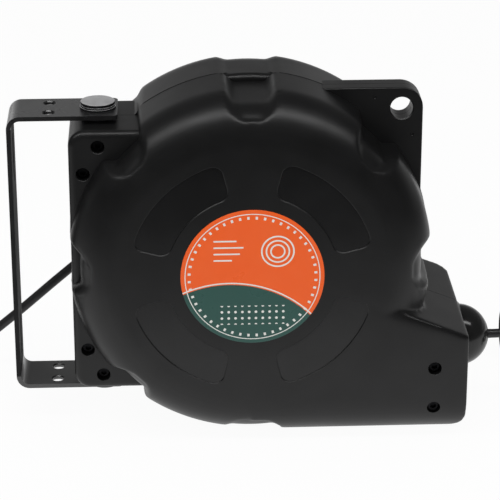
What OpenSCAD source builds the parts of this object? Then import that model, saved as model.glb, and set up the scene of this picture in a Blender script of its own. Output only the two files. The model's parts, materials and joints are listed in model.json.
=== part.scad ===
// Spring-rewind extension cord reel on a swivelling wall bracket.
// X points to the cable outlet, Y from the front face to the rear, Z up.
// The origin is on the base plane, under the drum axis, on the seam of the two shells.

/* [Casing] */
// Radius of the round casing over its band
drum_r = 163; // [155:1:175]
// Rounding from the band to the flat faces
shoulder_r = 40; // [34:1:46]
// Depth of each shell, from the seam to its face
shell_depth = 82; // [80:1:92]
// Thickness of the shell walls
wall = 3; // [2.5:0.5:4]
// Width of the grip grooves across the band
groove_w = 45; // [30:1:60]
// Depth of the grip grooves behind the seam
groove_deep = 3; // [2:0.5:4]
// Depth of the grip pockets in front of the seam, measured at the seam
pocket_deep = 8; // [4:0.5:10]
// How far the flat foot reaches to the bracket side of the axis
foot_reach = 36; // [20:1:50]
// Inner radius of the sunk face panels
panel_r_in = 75; // [70:1:85]
// Outer radius of the sunk face panels
panel_r_out = 109; // [95:1:115]
// Angle that each sunk panel spans
panel_span = 61; // [40:1:75]
// Depth of the sunk panels
panel_deep = 1; // [0.5:0.25:1.5]
// Radius of the round label
label_r = 63; // [50:1:68]
// Thickness of the label
label_t = 0.4; // [0.3:0.1:0.8]

/* [Outlet housing] */
// Distance from the drum axis to the outlet end
housing_reach = 193; // [185:1:205]
// Drop of the housing roof below the axis at the outlet end
housing_drop = 62; // [50:1:66]
// Slope of the housing roof
roof_slope = 22; // [15:1:26]
// Rounding of the lower outlet corner
housing_corner = 22; // [12:1:30]

/* [Pivot block] */
// Distance of the bracket pivot inside the radius of the casing
pivot_in = 30; // [25:1:33]
// Half of the depth of the block
block_half_y = 45; // [42:1:50]
// Half of the height of the block
block_half_z = 123; // [118:1:128]
// Width of the block outside the pivot
block_margin = 26; // [24:1:30]
// Rounding of the block corners
block_corner = 14; // [8:1:18]

/* [Hanging ear] */
// Reach of the ear sideways from the drum axis
ear_x = 154; // [150:1:162]
// Reach of the ear above the drum axis
ear_z = 149; // [145:1:156]
// Thickness of the ear
ear_t = 25; // [18:1:32]
// Radius of the ear corner, which the hole shares its centre with
ear_corner = 19; // [17:1:22]
// Diameter of the hanging hole
ear_hole_d = 20; // [14:1:22]

/* [Bracket] */
// Width of the steel bar
bar_w = 50; // [40:1:60]
// Thickness of the steel bar
bar_t = 4; // [3:0.5:6]
// Distance from the pivot to the wall face
bracket_depth = 80; // [78:1:100]
// Length of the arms past the pivot
arm_past = 17.5; // [14:0.5:24]
// Inner radius of the bends
bend_r = 8; // [5:1:14]
// Height of a wall slot from the bracket centre
slot_z = 85; // [70:1:90]
// Length of a wall slot
slot_len = 45; // [30:1:50]
// Width of a wall slot
slot_w = 9; // [7:0.5:11]
// Distance between the two holes of an arm
arm_hole_gap = 26; // [22:1:30]
// Diameter of the arm holes
arm_hole_d = 10; // [7:0.5:11]
// Distance from the pivot to the arm holes
arm_hole_x = 43; // [36:1:50]

/* [Pivot bolts] */
// Diameter of the bolt heads
bolt_head_d = 32; // [26:1:34]
// Thickness of the bolt heads
bolt_head_t = 6; // [4:0.5:8]
// Diameter of the shoulder that the bracket turns on
bolt_shoulder_d = 16; // [14:1:18]
// Diameter of the bolt thread
bolt_thread_d = 10; // [8:1:12]
// Thickness of the spacer between the block and the bracket
spacer_t = 3.8; // [3:0.1:6]
// Length of the threaded sleeve in the block
sleeve_len = 36; // [28:1:40]

/* [Casing screws] */
// Diameter of the screw shanks
screw_d = 5; // [4:0.5:6]
// Diameter of the sunk screw wells
well_d = 12; // [10.5:0.5:13]
// Depth of the screw wells
well_deep = 10; // [8:1:14]
// Diameter of the screw posts
post_d = 18; // [16:1:18]
// Distance from the top of the block to the screw that locks the pivot sleeve
block_screw_in = 14; // [13:0.5:16]

/* [Cable] */
// Outer diameter of the wound cable and of the supply lead
cable_d = 8.5; // [8:0.25:8.75]
// Clear gap between neighbouring turns
turn_gap = 0.6; // [0.5:0.05:0.9]
// Turns in the outer layer of the winding
winding_turns = 9; // [7:1:9]
// Radius of the outer layer, at the middle of the cable
winding_r = 96; // [94:1:98]
// Diameter of the ball that stops the cable at the outlet
ball_d = 57; // [52:1:60]
// How far the middle of the ball stands outside the outlet end
ball_out = 1; // [0:0.5:4]

/* [Drum] */
// Outer radius of the drum flanges
flange_r = 134; // [125:1:138]
// Thickness of the drum flanges
flange_t = 3; // [2.5:0.5:4]
// Outer radius of the barrel
barrel_r = 60; // [56:1:66]
// Thickness of the barrel wall
barrel_wall = 3; // [2.5:0.5:4]
// Diameter of the fixed shaft
shaft_d = 16; // [14:1:18]
// Thickness of the bushes on the shaft
bush_t = 3; // [2:0.5:4]
// Coils of the power spring
spring_coils = 12; // [8:1:14]
// Thickness of the spring strip
spring_t = 1; // [0.8:0.1:1.4]
// Width of the spring strip
spring_w = 60; // [50:1:64]

/* [Ratchet] */
// Outer radius of the ratchet wheel
ratchet_r = 52; // [50:1:54]
// Depth of the ratchet notches
notch_deep = 8; // [6:0.5:10]
// Thickness of the ratchet wheel and the pawl
ratchet_t = 7; // [5:0.5:8]
// Number of ratchet teeth
ratchet_teeth = 8; // [4:4:8]
// Distance from the drum axis to the pawl pin
pawl_pin_r = 72; // [71:0.5:74]
// Length of the pawl from its pin to its tip
pawl_len = 22.5; // [22:0.5:23.5]
// Swing of the pawl from rest to the notch
pawl_swing = 45; // [42:1:50]

/* [Slip rings] */
// Radius of the slip ring carrier
carrier_r = 30; // [26:1:34]
// Width of each contact ring
ring_w = 3; // [2.5:0.5:3.5]
// Distance between contact rings
ring_step = 4.5; // [4:0.25:5]

/* [Outlet guide] */
// Radius of the guide rollers
roller_r = 7; // [6:0.5:8]
// Length of the guide rollers
roller_len = 30; // [24:1:36]
// Distance from the outlet end back to the rollers
roller_back = 53; // [49:1:58]
// Diameter of the roller pins
roller_pin_d = 5; // [4:0.5:6]

/* [Supply lead] */
// Radius of the hub cover at the rear
cover_r = 45; // [40:1:55]
// Depth of the hub cover
cover_depth = 20; // [18:1:24]
// Height of the lead above the base where it leaves the gland
lead_h = 147; // [145:1:149]
// Distance from the drum axis to the end of the gland
gland_reach = 80; // [78:1:82]

/* [Coils] */
// Radius of the outer turn of a put-away coil
coil_r = 51; // [48:1:54]
// Width of the coil ties
tie_w = 14; // [8:1:20]
// Thickness of the coil ties
tie_t = 1; // [0.8:0.1:1.4]

/* [Hidden] */
$fn = 96;

fit = 0.05;
clear = 0.3;
axis_h = drum_r;
skin = wall + groove_deep;
face_flat_r = drum_r - shoulder_r;
band_half = shell_depth - shoulder_r;
inner_half = shell_depth - skin;
groove_angles = [0, 45, 90, 135, 180, 225];
groove_margin = 6;
groove_end = shell_depth - groove_margin;
panel_angles = [45, 135, 225, 315];
far = 1000;

pivot_x = drum_r - pivot_in;
block_x0 = -(pivot_x + block_margin);
block_into_drum = 80;
block_x1 = -pivot_x + block_into_drum;
block_wall = wall + 1;
post_bite = 0.5;
edge_screw = block_margin - block_wall + post_bite - post_d / 2;
edge_screw_drop = 25;
screw_cross = block_half_z - block_screw_in;
block_screws = [for (s = [-1, 1], p = [[0, 0], [edge_screw, edge_screw_drop]])
    [-pivot_x - p[0], s * (screw_cross - p[1])]];
outlet_z = -winding_r;
housing_screw_in = 30;
housing_screw = [housing_reach - housing_screw_in, outlet_z - 35];
guide_screw = [housing_reach - housing_screw_in, outlet_z + 4];
block_screw_end = block_half_y - 10;
housing_screw_end = shell_depth - 24;
screw_tip = 2;
sleeve_d = bolt_shoulder_d + 4;
thread_len = block_screw_in - screw_d / 2 - 0.5;
pivot_boss_d = bolt_head_d - 4;
shaft_boss_r = shaft_d / 2 + 6;
boss_gap = 3;
arm_inner_z = block_half_z + spacer_t + 2 * fit;
arm_outer_z = arm_inner_z + bar_t;
wall_x = -(pivot_x + bracket_depth);
ear_hole = [ear_x - ear_corner, ear_z - ear_corner];

winding_pitch = cable_d + turn_gap;
winding_half = winding_turns * winding_pitch / 2;
flange_y = winding_half + cable_d / 2 + 1;
core_r = winding_r * cos(7.5) - cable_d / 2 - clear;
bush_r = shaft_d / 2 + fit + bush_t;
hub_r = bush_r + 5;
arbor_r = shaft_d / 2 + 6;
spring_r_in = arbor_r + 3;
spring_r_out = barrel_r - barrel_wall - clear;
ratchet_y = flange_y + flange_t;
pawl_hole_r = 3.5;
pawl_boss_r = 7;
carrier_len = 3 * ring_step + 2;
ring_r = carrier_r + 2;
brush_gap = 0.3;
brush_h = 6;
brush_len = 8;
brush_block = 12;
brush_x1 = ring_r + brush_gap + brush_len;
ring_ys = [for (i = [0:2]) ratchet_y + ring_step * (i + 0.5) + 1];
clip_t = 1.2;
hub_inside = 12;
notch_span = 32;
pawl_w = 6;
head_chamfer = 1;
arm_corner = 5;
ball_screw_r = 2;
ball_screw_z = 15;
ball_screw_half = 16;
lip_t = 2;
lip_w = 3;
gland_neck_r = 7;
gland_inside = 9;
gland_collar_r = 9.5;
gland_collar = 6;
neck_r = cable_d / 2 + 1;
neck_len = 28;
grip_step = 6;
socket_r = 22.2;
socket_len = 78;
socket_deep = 17;
socket_wall = 2.5;
socket_grip_r = 14;
socket_face = 22;
insert_t = 3;
plug_r = 18.8;
plug_len = 66;
plug_grip_r = 12;
plug_face = 11;
pin_gap = 19;
pin_r = 2.4;
pin_len = 19;

ball_x = housing_reach + ball_out;
roller_x = housing_reach - roller_back;
cup_r = ball_d / 2 + clear;
cup_wall = 3;
cup_lip_r = cup_r + cup_wall + lip_w;
guide_x0 = roller_x - roller_r - 3;
lug_y = inner_half - 20;
lug_r = 7;
lug_grip = 18;
cheek_x1 = ball_x - ball_d / 2 + 4;
cheek_y = roller_len / 2 + clear;
cheek_t = 4;
roller_off = cable_d / 2 + clear + roller_r;
roller_pin_reach = cheek_y + cheek_t;
run_x0 = sqrt(pow(winding_r + cable_d / 2 + 2, 2) - pow(winding_r - cable_d / 2, 2)) + 2;
run_x1 = 225;

lead_y = shell_depth + cover_depth / 2;
wire_hole_r = 6;
cover_screw_d = 4;
cover_screw_head_r = 3.5;
cover_screw_head_t = 2.5;
cover_screw_in = 9;
cover_screw_r = cover_r - cover_screw_in;
tie_room = 0.25;
coil_z = tie_t + tie_room + cable_d / 2;
layer_step = cable_d + turn_gap;
lead_coil_turns = 1.875;
lead_coil_start = 90;
cable_coil_turns = 1.5;
cable_coil_start = -90;

// Supply lead from the gland to its coil on the floor
lead_path = [[-80, 92, 147], [-89, 92, 147], [-103, 92, 144], [-117, 92, 138], [-131, 92, 129.5],
    [-147, 92, 117.5], [-163, 92, 104], [-180, 92, 89.5], [-196, 92, 75.5], [-212, 92, 61.5], [-228, 92, 48],
    [-244, 92, 35], [-260, 92, 23.5], [-277, 92, 14], [-295, 92, 8], [-313, 92, 5.5], [-330, 92, 5.5]];
// Cable from the stop ball to its coil on the floor
cable_path = [[225, 0, 67], [240, 0, 67], [255, 0, 64], [268, 0, 57], [279, 0, 47], [288, 0, 36],
    [297, 0, 25], [307, 0, 15.5], [319, 0, 9], [333, 0, 5.8], [348, 0, 5.5], [365, 0, 5.5], [381.5, 0, 5.5]];

// Lead and cable from their coils to the plug and the socket
lead_tail_path = [[-389.5, 32.5, 14.6], [-389.5, 29, 14.6], [-389.5, 22.8, 15.1], [-389.5, 16.6, 16.2],
    [-389.5, 10.4, 17.4], [-389.5, 4.2, 18.5], [-389.5, -2, 19], [-389.5, -5, 19]];
cable_tail_path = [[381.5, 102, 14.6], [377, 102, 14.6], [368.6, 102, 15.4], [360.2, 102, 17.4],
    [351.8, 102, 19.7], [343.4, 102, 21.7], [335, 102, 22.5], [331, 102, 22.5]];

function unit(v) = v / norm(v);
function last(list) = list[len(list) - 1];

// Direction of travel at an angle of a level coil
function heading(a) = [-sin(a), cos(a), 0];

// Straight ends, one cable diameter long, added to a wound path in given directions
function with_ends(path, d, back, on) = concat([path[0] + d * back], path, [last(path) + d * on]);

// Point of a spiral that has 16 steps a turn
function spiral_spot(r, i) = r * [cos(i * 22.5), sin(i * 22.5)];

// Helix round the drum axis
function winding_path() = [for (i = [0:24 * winding_turns]) let(a = i * 15)
    [winding_r * cos(a), -winding_half + winding_pitch * i / 24, winding_r * sin(a)]];

// Angle that a coil of two layers turns through
function coil_sweep(turns) = (2 * turns + 0.5) * 360;

// Coil of two layers that spirals in, climbs and spirals out, from a start angle
function coil_path(centre, start, turns) = let(whole = coil_sweep(turns), steps = round(whole / 15))
    [for (i = [0:steps]) let(a = whole * i / steps, r = coil_r - layer_step * min(a, whole - a) / 360,
        lift = min(1, max(0, (a - whole / 2 + 90) / 180)), rise = lift * lift * (3 - 2 * lift))
        [centre[0] + r * cos(start + a), centre[1] + r * sin(start + a), coil_z + layer_step * rise]];

// Least clear gap between points of a path that lie more than half a turn apart
function own_gap(path, d) = let(n = len(path))
    min([for (i = [0:n - 14]) for (j = [i + 13:n - 1]) norm(path[i] - path[j])]) - d;

lead_end = last(lead_path);
cable_end = last(cable_path);
lead_coil_at = [lead_end[0] - cable_d, lead_end[1] - coil_r];
cable_coil_at = [cable_end[0] + cable_d, cable_end[1] + coil_r];
lead_coil_path = coil_path(lead_coil_at, lead_coil_start, lead_coil_turns);
cable_coil_path = coil_path(cable_coil_at, cable_coil_start, cable_coil_turns);
echo(winding_gap = own_gap(winding_path(), cable_d));
echo(lead_coil_gap = own_gap(lead_coil_path, cable_d));
echo(cable_coil_gap = own_gap(cable_coil_path, cable_d));

module lifted() translate([0, 0, axis_h]) children();
module along_y(y0, y1) translate([0, y1, 0]) rotate([90, 0, 0]) linear_extrude(y1 - y0) children();
module turned() rotate([90, 0, 0]) rotate_extrude() children();
module rod_y(r, y0, y1) translate([0, y1, 0]) rotate([90, 0, 0]) cylinder(r = r, h = y1 - y0);
module rod_x(r, x0, x1) translate([x0, 0, 0]) rotate([0, 90, 0]) cylinder(r = r, h = x1 - x0);
module at(p) translate([p[0], 0, p[1]]) children();
module front_of_seam() translate([-far / 2, -far, -far / 2]) cube(far);
module behind_seam() translate([-far / 2, 0, -far / 2]) cube(far);

module rounded_rect(x0, y0, x1, y1, r) {
    translate([x0 + r, y0]) square([x1 - x0 - 2 * r, y1 - y0]);
    translate([x0, y0 + r]) square([x1 - x0, y1 - y0 - 2 * r]);
    for (x = [x0 + r, x1 - r], y = [y0 + r, y1 - r]) translate([x, y]) circle(r);
}

module wedge(middle, span, reach) {
    edge = reach / cos(span / 2);
    polygon([[0, 0], for (a = [middle - span / 2, middle + span / 2]) edge * [cos(a), sin(a)]]);
}

// Tube of a given number of sides along a path, its rings square to the path
module tube(path, d, sides, side_dir) {
    n = len(path);
    rings = [for (i = [0:n - 1]) let(t = unit(path[min(i + 1, n - 1)] - path[max(i - 1, 0)]),
        u = unit(cross(t, side_dir)), v = cross(u, t))
        for (k = [0:sides - 1]) let(a = 360 * k / sides) path[i] + d / 2 * (cos(a) * u + sin(a) * v)];
    walls = [for (i = [0:n - 2], k = [0:sides - 1]) let(a = i * sides + k, b = i * sides + (k + 1) % sides)
        each [[a, a + sides, b + sides], [a, b + sides, b]]];
    end = (n - 1) * sides;
    caps = [for (k = [1:sides - 2]) each [[0, k, k + 1], [end, end + k + 1, end + k]]];
    polyhedron(rings, concat(walls, caps));
}

module drum_section(inset) {
    r = drum_r - inset;
    h = shell_depth - inset;
    c = shoulder_r - inset;
    translate([0, -h]) square([r - c, 2 * h]);
    translate([0, -(h - c)]) square([r, 2 * (h - c)]);
    for (side = [-1, 1]) translate([r - c, side * (h - c)]) circle(c);
}

module housing_outline(inset) {
    corner = housing_corner - inset;
    x1 = housing_reach - inset;
    z0 = -drum_r + inset;
    difference() {
        translate([0, z0]) square([x1, -z0]);
        translate([housing_reach, -housing_drop - inset / cos(roof_slope)]) rotate(-roof_slope)
            translate([-far, 0]) square([2 * far, far]);
        difference() {
            translate([x1 - corner, z0 - 1]) square([corner + 1, corner + 1]);
            translate([x1 - corner, z0 + corner]) circle(corner);
        }
    }
}

module housing_form(inset) intersection() {
    along_y(-shell_depth, shell_depth) housing_outline(inset);
    rotate([0, 90, 0]) linear_extrude(housing_reach) drum_section(inset);
}

module block_form(inset) along_y(-(block_half_y - inset), block_half_y - inset)
    rounded_rect(block_x0 + inset, -block_half_z + inset, block_x1, block_half_z - inset, block_corner - inset);

module ear_form() along_y(-ear_t / 2, ear_t / 2) difference() {
    rounded_rect(0, 0, ear_x, ear_z, ear_corner);
    translate(ear_hole) circle(ear_hole_d / 2);
}

module foot_form() along_y(-band_half, band_half)
    translate([-foot_reach, -drum_r]) square([foot_reach, drum_r / 2]);

// Blocks across the band, one at each groove, between two depths
module groove_blocks(w, y0, y1) for (a = groove_angles) rotate([0, -a, 0])
    translate([face_flat_r, y0, -w / 2]) cube([2 * shoulder_r, y1 - y0, w]);

// The drum with its rounding moved in towards the axis
module drum_moved_in(depth) turned() intersection() {
    translate([-depth, 0]) drum_section(0);
    translate([0, -far]) square(2 * far);
}

module grooves() {
    difference() {
        groove_blocks(groove_w, 0, groove_end);
        turned() drum_section(groove_deep);
    }
    difference() {
        groove_blocks(groove_w, -groove_end, 0);
        drum_moved_in(pocket_deep);
    }
}

// Walls that close the pockets towards the inside
module pocket_walls() difference() {
    groove_blocks(groove_w + 2 * wall, -groove_end - wall, wall);
    drum_moved_in(pocket_deep + wall);
}

module casing_outside() {
    difference() {
        turned() drum_section(0);
        grooves();
    }
    housing_form(0);
    block_form(0);
    ear_form();
    foot_form();
}

module casing_inside() {
    difference() {
        turned() drum_section(skin);
        pocket_walls();
    }
    housing_form(skin);
    block_form(block_wall);
}

module screw_posts() {
    for (p = block_screws) at(p) rod_y(post_d / 2, -block_half_y + 1, block_half_y - 1);
    at(housing_screw) rod_y(post_d / 2, -inner_half - 1, inner_half + 1);
    at(guide_screw) rod_y(post_d / 2, -inner_half - 1, -lug_y);
}

module pivot_bosses() for (s = [-1, 1]) translate([-pivot_x, 0, s * (block_half_z - sleeve_len / 2 - 2)])
    cylinder(d = pivot_boss_d, h = sleeve_len, center = true);

module shaft_bosses() {
    rod_y(shaft_boss_r, -inner_half - 1, -(ratchet_y + ratchet_t + boss_gap));
    rod_y(shaft_boss_r, ratchet_y + carrier_len + boss_gap, inner_half + 1);
}

module pawl_boss() at([0, pawl_pin_r]) rod_y(pawl_boss_r, -inner_half - 1, -(ratchet_y + ratchet_t + clear));

module screw_wells() {
    for (p = block_screws) at(p) rod_y(well_d / 2, -block_half_y - 1, -block_half_y + well_deep);
    for (p = [housing_screw, guide_screw]) at(p) rod_y(well_d / 2, -shell_depth - 1, -shell_depth + well_deep);
}

module screw_holes() {
    for (p = block_screws) at(p) rod_y(screw_d / 2 + fit, -block_half_y, block_screw_end + screw_tip);
    at(housing_screw) rod_y(screw_d / 2 + fit, -shell_depth, housing_screw_end + screw_tip);
    at(guide_screw) rod_y(screw_d / 2 + fit, -shell_depth, -lug_y + 1);
}

module casing_holes() {
    screw_wells();
    screw_holes();
    rod_y(shaft_d / 2 + fit, -(shell_depth - wall), shell_depth - wall);
    for (s = [-1, 1]) translate([-pivot_x, 0, s * (block_half_z - sleeve_len / 2)])
        cylinder(d = sleeve_d + 2 * fit, h = sleeve_len, center = true);
    translate([0, 0, outlet_z]) rod_x(cup_r + cup_wall + fit, housing_reach - 2 * skin, housing_reach + 1);
}

module casing() difference() {
    union() {
        difference() {
            casing_outside();
            casing_inside();
        }
        intersection() {
            casing_outside();
            union() {
                screw_posts();
                pivot_bosses();
                shaft_bosses();
            }
        }
    }
    casing_holes();
    at(ear_hole) rod_y(ear_hole_d / 2, -ear_t, ear_t);
}

module panel(a) intersection() {
    difference() {
        circle(panel_r_out);
        circle(panel_r_in);
    }
    wedge(a, panel_span, 2 * panel_r_out);
}

module front_shell() color("#1c1c1e") lifted() difference() {
    union() {
        intersection() {
            casing();
            front_of_seam();
        }
        pawl_boss();
    }
    for (a = panel_angles) along_y(-shell_depth - 1, -shell_depth + panel_deep) panel(a);
    at([0, pawl_pin_r]) rod_y(pawl_hole_r + fit, -inner_half + 1, 0);
}

module rear_shell() color("#1c1c1e") lifted() difference() {
    intersection() {
        casing();
        behind_seam();
    }
    cover_screw_spots() rod_y(cover_screw_d / 2 + fit, inner_half - 1, shell_depth + 1);
    translate([-cover_r / 2, 0, 0]) rod_y(wire_hole_r, inner_half - 1, shell_depth + 1);
}

module screw(head_y, end_y) difference() {
    union() {
        rod_y(screw_d, head_y, head_y + screw_d);
        rod_y(screw_d / 2, head_y, end_y);
    }
    translate([0, head_y + screw_d * 0.6, 0]) rotate([90, 0, 0])
        cylinder(d = screw_d * 1.15, h = screw_d, $fn = 6);
}

module casing_screws() color("#2a2a2c") lifted() {
    for (p = block_screws) at(p) screw(-block_half_y + well_deep - screw_d, block_screw_end);
    at(housing_screw) screw(-shell_depth + well_deep - screw_d, housing_screw_end);
    at(guide_screw) screw(-shell_depth + well_deep - screw_d, -lug_y + lug_grip);
}

module face_label() color("#e2622b") lifted() along_y(-shell_depth - label_t, -shell_depth) circle(label_r);

module bracket_profile() difference() {
    rounded_rect(wall_x, -arm_outer_z, far, arm_outer_z, bend_r + bar_t);
    rounded_rect(wall_x + bar_t, -arm_inner_z, 2 * far, arm_inner_z, bend_r);
}

module wall_slot() {
    run = slot_len - slot_w;
    cube([4 * bar_t, slot_w, run], center = true);
    for (s = [-1, 1]) translate([0, 0, s * run / 2]) rotate([0, 90, 0])
        cylinder(d = slot_w, h = 4 * bar_t, center = true);
}

module bracket() color("#232325") lifted() difference() {
    intersection() {
        along_y(-bar_w / 2, bar_w / 2) bracket_profile();
        translate([0, 0, -far / 2]) linear_extrude(far)
            rounded_rect(wall_x - 2 * arm_corner, -bar_w / 2, -pivot_x + arm_past, bar_w / 2, arm_corner);
    }
    translate([-pivot_x, 0, 0]) cylinder(d = bolt_shoulder_d + 2 * fit, h = far, center = true);
    for (s = [-1, 1]) {
        translate([-pivot_x - arm_hole_x, s * arm_hole_gap / 2, 0])
            cylinder(d = arm_hole_d, h = far, center = true);
        translate([wall_x, 0, s * slot_z]) wall_slot();
    }
}

// Shoulder bolt that stands on the block and points up
module pivot_bolt() {
    head_z = arm_outer_z + 2 * fit;
    translate([0, 0, head_z]) cylinder(d = bolt_head_d, h = bolt_head_t - head_chamfer);
    translate([0, 0, head_z + bolt_head_t - head_chamfer])
        cylinder(d1 = bolt_head_d, d2 = bolt_head_d - 2 * head_chamfer, h = head_chamfer);
    translate([0, 0, block_half_z]) cylinder(d = bolt_shoulder_d, h = head_z - block_half_z);
    translate([0, 0, block_half_z - thread_len]) cylinder(d = bolt_thread_d, h = thread_len);
}

module upper_pivot_bolt() color("#c9cbcd") lifted() translate([-pivot_x, 0, 0]) pivot_bolt();
module lower_pivot_bolt() color("#c9cbcd") lifted() translate([-pivot_x, 0, 0]) mirror([0, 0, 1]) pivot_bolt();

module pivot_spacers() color("#3a3a3c") lifted() for (s = [0, 1]) translate([-pivot_x, 0, 0]) mirror([0, 0, s])
    translate([0, 0, block_half_z]) difference() {
        cylinder(d = bolt_head_d, h = spacer_t);
        translate([0, 0, -1]) cylinder(d = bolt_shoulder_d + 2 * fit, h = spacer_t + 2);
    }

module pivot_sleeves() color("#a9a9a4") lifted() for (s = [0, 1]) translate([-pivot_x, 0, 0]) mirror([0, 0, s])
    translate([0, 0, block_half_z - sleeve_len]) difference() {
        cylinder(d = sleeve_d, h = sleeve_len);
        translate([0, 0, sleeve_len - thread_len - fit]) cylinder(d = bolt_thread_d + 2 * fit, h = sleeve_len);
        translate([0, 0, sleeve_len - block_screw_in]) rod_y(screw_d / 2 + fit, -sleeve_d, sleeve_d);
    }

module shaft() color("#b8babc") lifted() rod_y(shaft_d / 2, -(shell_depth - wall), shell_depth - wall);

module ring_y(r_in, r_out, y0, y1) difference() {
    rod_y(r_out, y0, y1);
    rod_y(r_in, y0 - 1, y1 + 1);
}

module shaft_clips() color("#6d6f71") lifted() {
    for (y = [-(ratchet_y + ratchet_t + clear + clip_t), ratchet_y + carrier_len + clear])
        ring_y(shaft_d / 2 + fit, bush_r, y, y + clip_t);
}

// Flange that stands on the +Y side, with a hub past it
module flange(hub_len) difference() {
    union() {
        rod_y(flange_r, flange_y, flange_y + flange_t);
        rod_y(hub_r, flange_y - hub_inside, flange_y + flange_t + hub_len);
    }
    rod_y(bush_r + fit, 0, far);
}

module front_flange() color("#3b3c40") lifted() mirror([0, 1, 0]) flange(ratchet_t);
module rear_flange() color("#3b3c40") lifted() flange(carrier_len);
module barrel() color("#46474c") lifted() ring_y(barrel_r - barrel_wall, barrel_r, -flange_y, flange_y);

module flange_bushes() color("#b08d4a") lifted() {
    ring_y(shaft_d / 2 + fit, bush_r, -(ratchet_y + ratchet_t), -(flange_y - hub_inside));
    ring_y(shaft_d / 2 + fit, bush_r, flange_y - hub_inside, ratchet_y + carrier_len);
}

module inner_layers() color("#202022") lifted()
    ring_y(barrel_r + fit, core_r, -(winding_half + cable_d / 2), winding_half + cable_d / 2);

module wound_cable() color("#141415") lifted()
    tube(with_ends(winding_path(), cable_d, [0, 0, -1], [0, 0, 1]), cable_d, 6, [0, 1, 0]);

module power_spring() color("#7d8288") lifted() along_y(-spring_w / 2, spring_w / 2) {
    steps = 16 * spring_coils;
    rate = (spring_r_out - spring_t - spring_r_in) / steps;
    inner_side = [for (i = [0:steps]) spiral_spot(spring_r_in + rate * i, i)];
    outer_side = [for (i = [steps:-1:0]) spiral_spot(spring_r_in + spring_t + rate * i, i)];
    polygon(concat(inner_side, outer_side));
}

module spring_arbor() color("#9b9da0") lifted() ring_y(shaft_d / 2 + fit, arbor_r, -spring_w / 2, spring_w / 2);

module ratchet_wheel() color("#8b8d90") lifted() along_y(-(ratchet_y + ratchet_t), -ratchet_y) difference() {
    circle(ratchet_r);
    for (i = [0:ratchet_teeth - 1]) difference() {
        wedge(90 + 360 * i / ratchet_teeth, notch_span, 2 * ratchet_r);
        circle(ratchet_r - notch_deep);
    }
    circle(hub_r + fit);
}

module pawl() color("#8b8d90") lifted() along_y(-(ratchet_y + ratchet_t), -ratchet_y - clear)
    translate([0, pawl_pin_r]) rotate(pawl_swing) difference() {
        union() {
            circle(pawl_boss_r);
            translate([-pawl_w / 2, -pawl_len]) square([pawl_w, pawl_len]);
        }
        circle(pawl_hole_r);
    }

module pawl_pin() color("#b8babc") lifted() at([0, pawl_pin_r])
    rod_y(pawl_hole_r - fit, -inner_half + 1, -ratchet_y - clear);

module slip_ring_carrier() color("#7a3b1f") lifted()
    ring_y(hub_r + fit, carrier_r, ratchet_y, ratchet_y + carrier_len);

module contact_rings() color("#b87333") lifted() for (y = ring_ys)
    ring_y(carrier_r + fit, ring_r, y - ring_w / 2, y + ring_w / 2);

module brush_holder() color("#5b3a22") lifted()
    translate([brush_x1, ratchet_y + clear, -brush_h])
        cube([brush_block, inner_half - ratchet_y - clear, 2 * brush_h]);

module contact_brushes() color("#39322c") lifted() for (y = ring_ys)
    translate([ring_r + brush_gap, y - ring_w / 2 + 0.5, -brush_h / 2]) cube([brush_len, ring_w - 1, brush_h]);

module outlet_guide() color("#2b2b2d") lifted() translate([0, 0, outlet_z]) difference() {
    union() {
        intersection() {
            translate([ball_x, 0, 0]) sphere(cup_r + cup_wall);
            rod_x(2 * cup_r, guide_x0, housing_reach);
        }
        rod_x(cup_lip_r, housing_reach, housing_reach + lip_t);
        for (s = [-1, 1]) translate([(guide_x0 + cheek_x1) / 2, s * (cheek_y + cheek_t / 2), 0])
            cube([cheek_x1 - guide_x0, cheek_t, 2 * (roller_off + roller_r)], center = true);
        at(guide_screw - [0, outlet_z]) rod_y(lug_r, -lug_y, -cheek_y);
    }
    at(guide_screw - [0, outlet_z]) rod_y(screw_d / 2 + fit, -lug_y - 1, -lug_y + lug_grip + 1);
    translate([ball_x, 0, 0]) sphere(cup_r);
    rod_x(cable_d / 2 + 2, guide_x0 - 1, ball_x);
    for (s = [-1, 1]) translate([roller_x, 0, s * roller_off]) rod_y(roller_pin_d / 2 + fit, -far / 4, far / 4);
}

module roller() ring_y(roller_pin_d / 2 + fit, roller_r, -roller_len / 2, roller_len / 2);
module upper_roller() color("#d8d8d2") lifted() at([roller_x, outlet_z + roller_off]) roller();
module lower_roller() color("#d8d8d2") lifted() at([roller_x, outlet_z - roller_off]) roller();

module roller_pins() color("#b8babc") lifted() for (s = [-1, 1]) at([roller_x, outlet_z + s * roller_off])
    rod_y(roller_pin_d / 2, -roller_pin_reach, roller_pin_reach);

module ball_stop() translate([ball_x, 0, outlet_z]) difference() {
    sphere(d = ball_d);
    rod_x(cable_d / 2 + fit, -ball_d, ball_d);
    for (s = [-1, 1]) translate([0, 0, s * ball_screw_z]) {
        rod_y(ball_screw_r + fit, -ball_screw_half, ball_screw_half);
        rod_y(2 * ball_screw_r + fit, -ball_d, -ball_screw_half + 2 * ball_screw_r);
    }
}

module ball_stop_front() color("#121213") lifted() intersection() {
    ball_stop();
    front_of_seam();
}

module ball_stop_rear() color("#121213") lifted() intersection() {
    ball_stop();
    behind_seam();
}

module ball_screws() color("#77797c") lifted() for (s = [-1, 1]) at([ball_x, outlet_z + s * ball_screw_z]) {
    rod_y(ball_screw_r, -ball_screw_half, ball_screw_half - 1);
    rod_y(2 * ball_screw_r, -ball_screw_half, -ball_screw_half + 2 * ball_screw_r);
}

// Tube of a coil, whose ends leave it along its first and last heading
module coil_tube(path, start, turns)
    tube(with_ends(path, cable_d, -heading(start), heading(start + coil_sweep(turns))), cable_d, 6, [0, 0, 1]);

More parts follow.
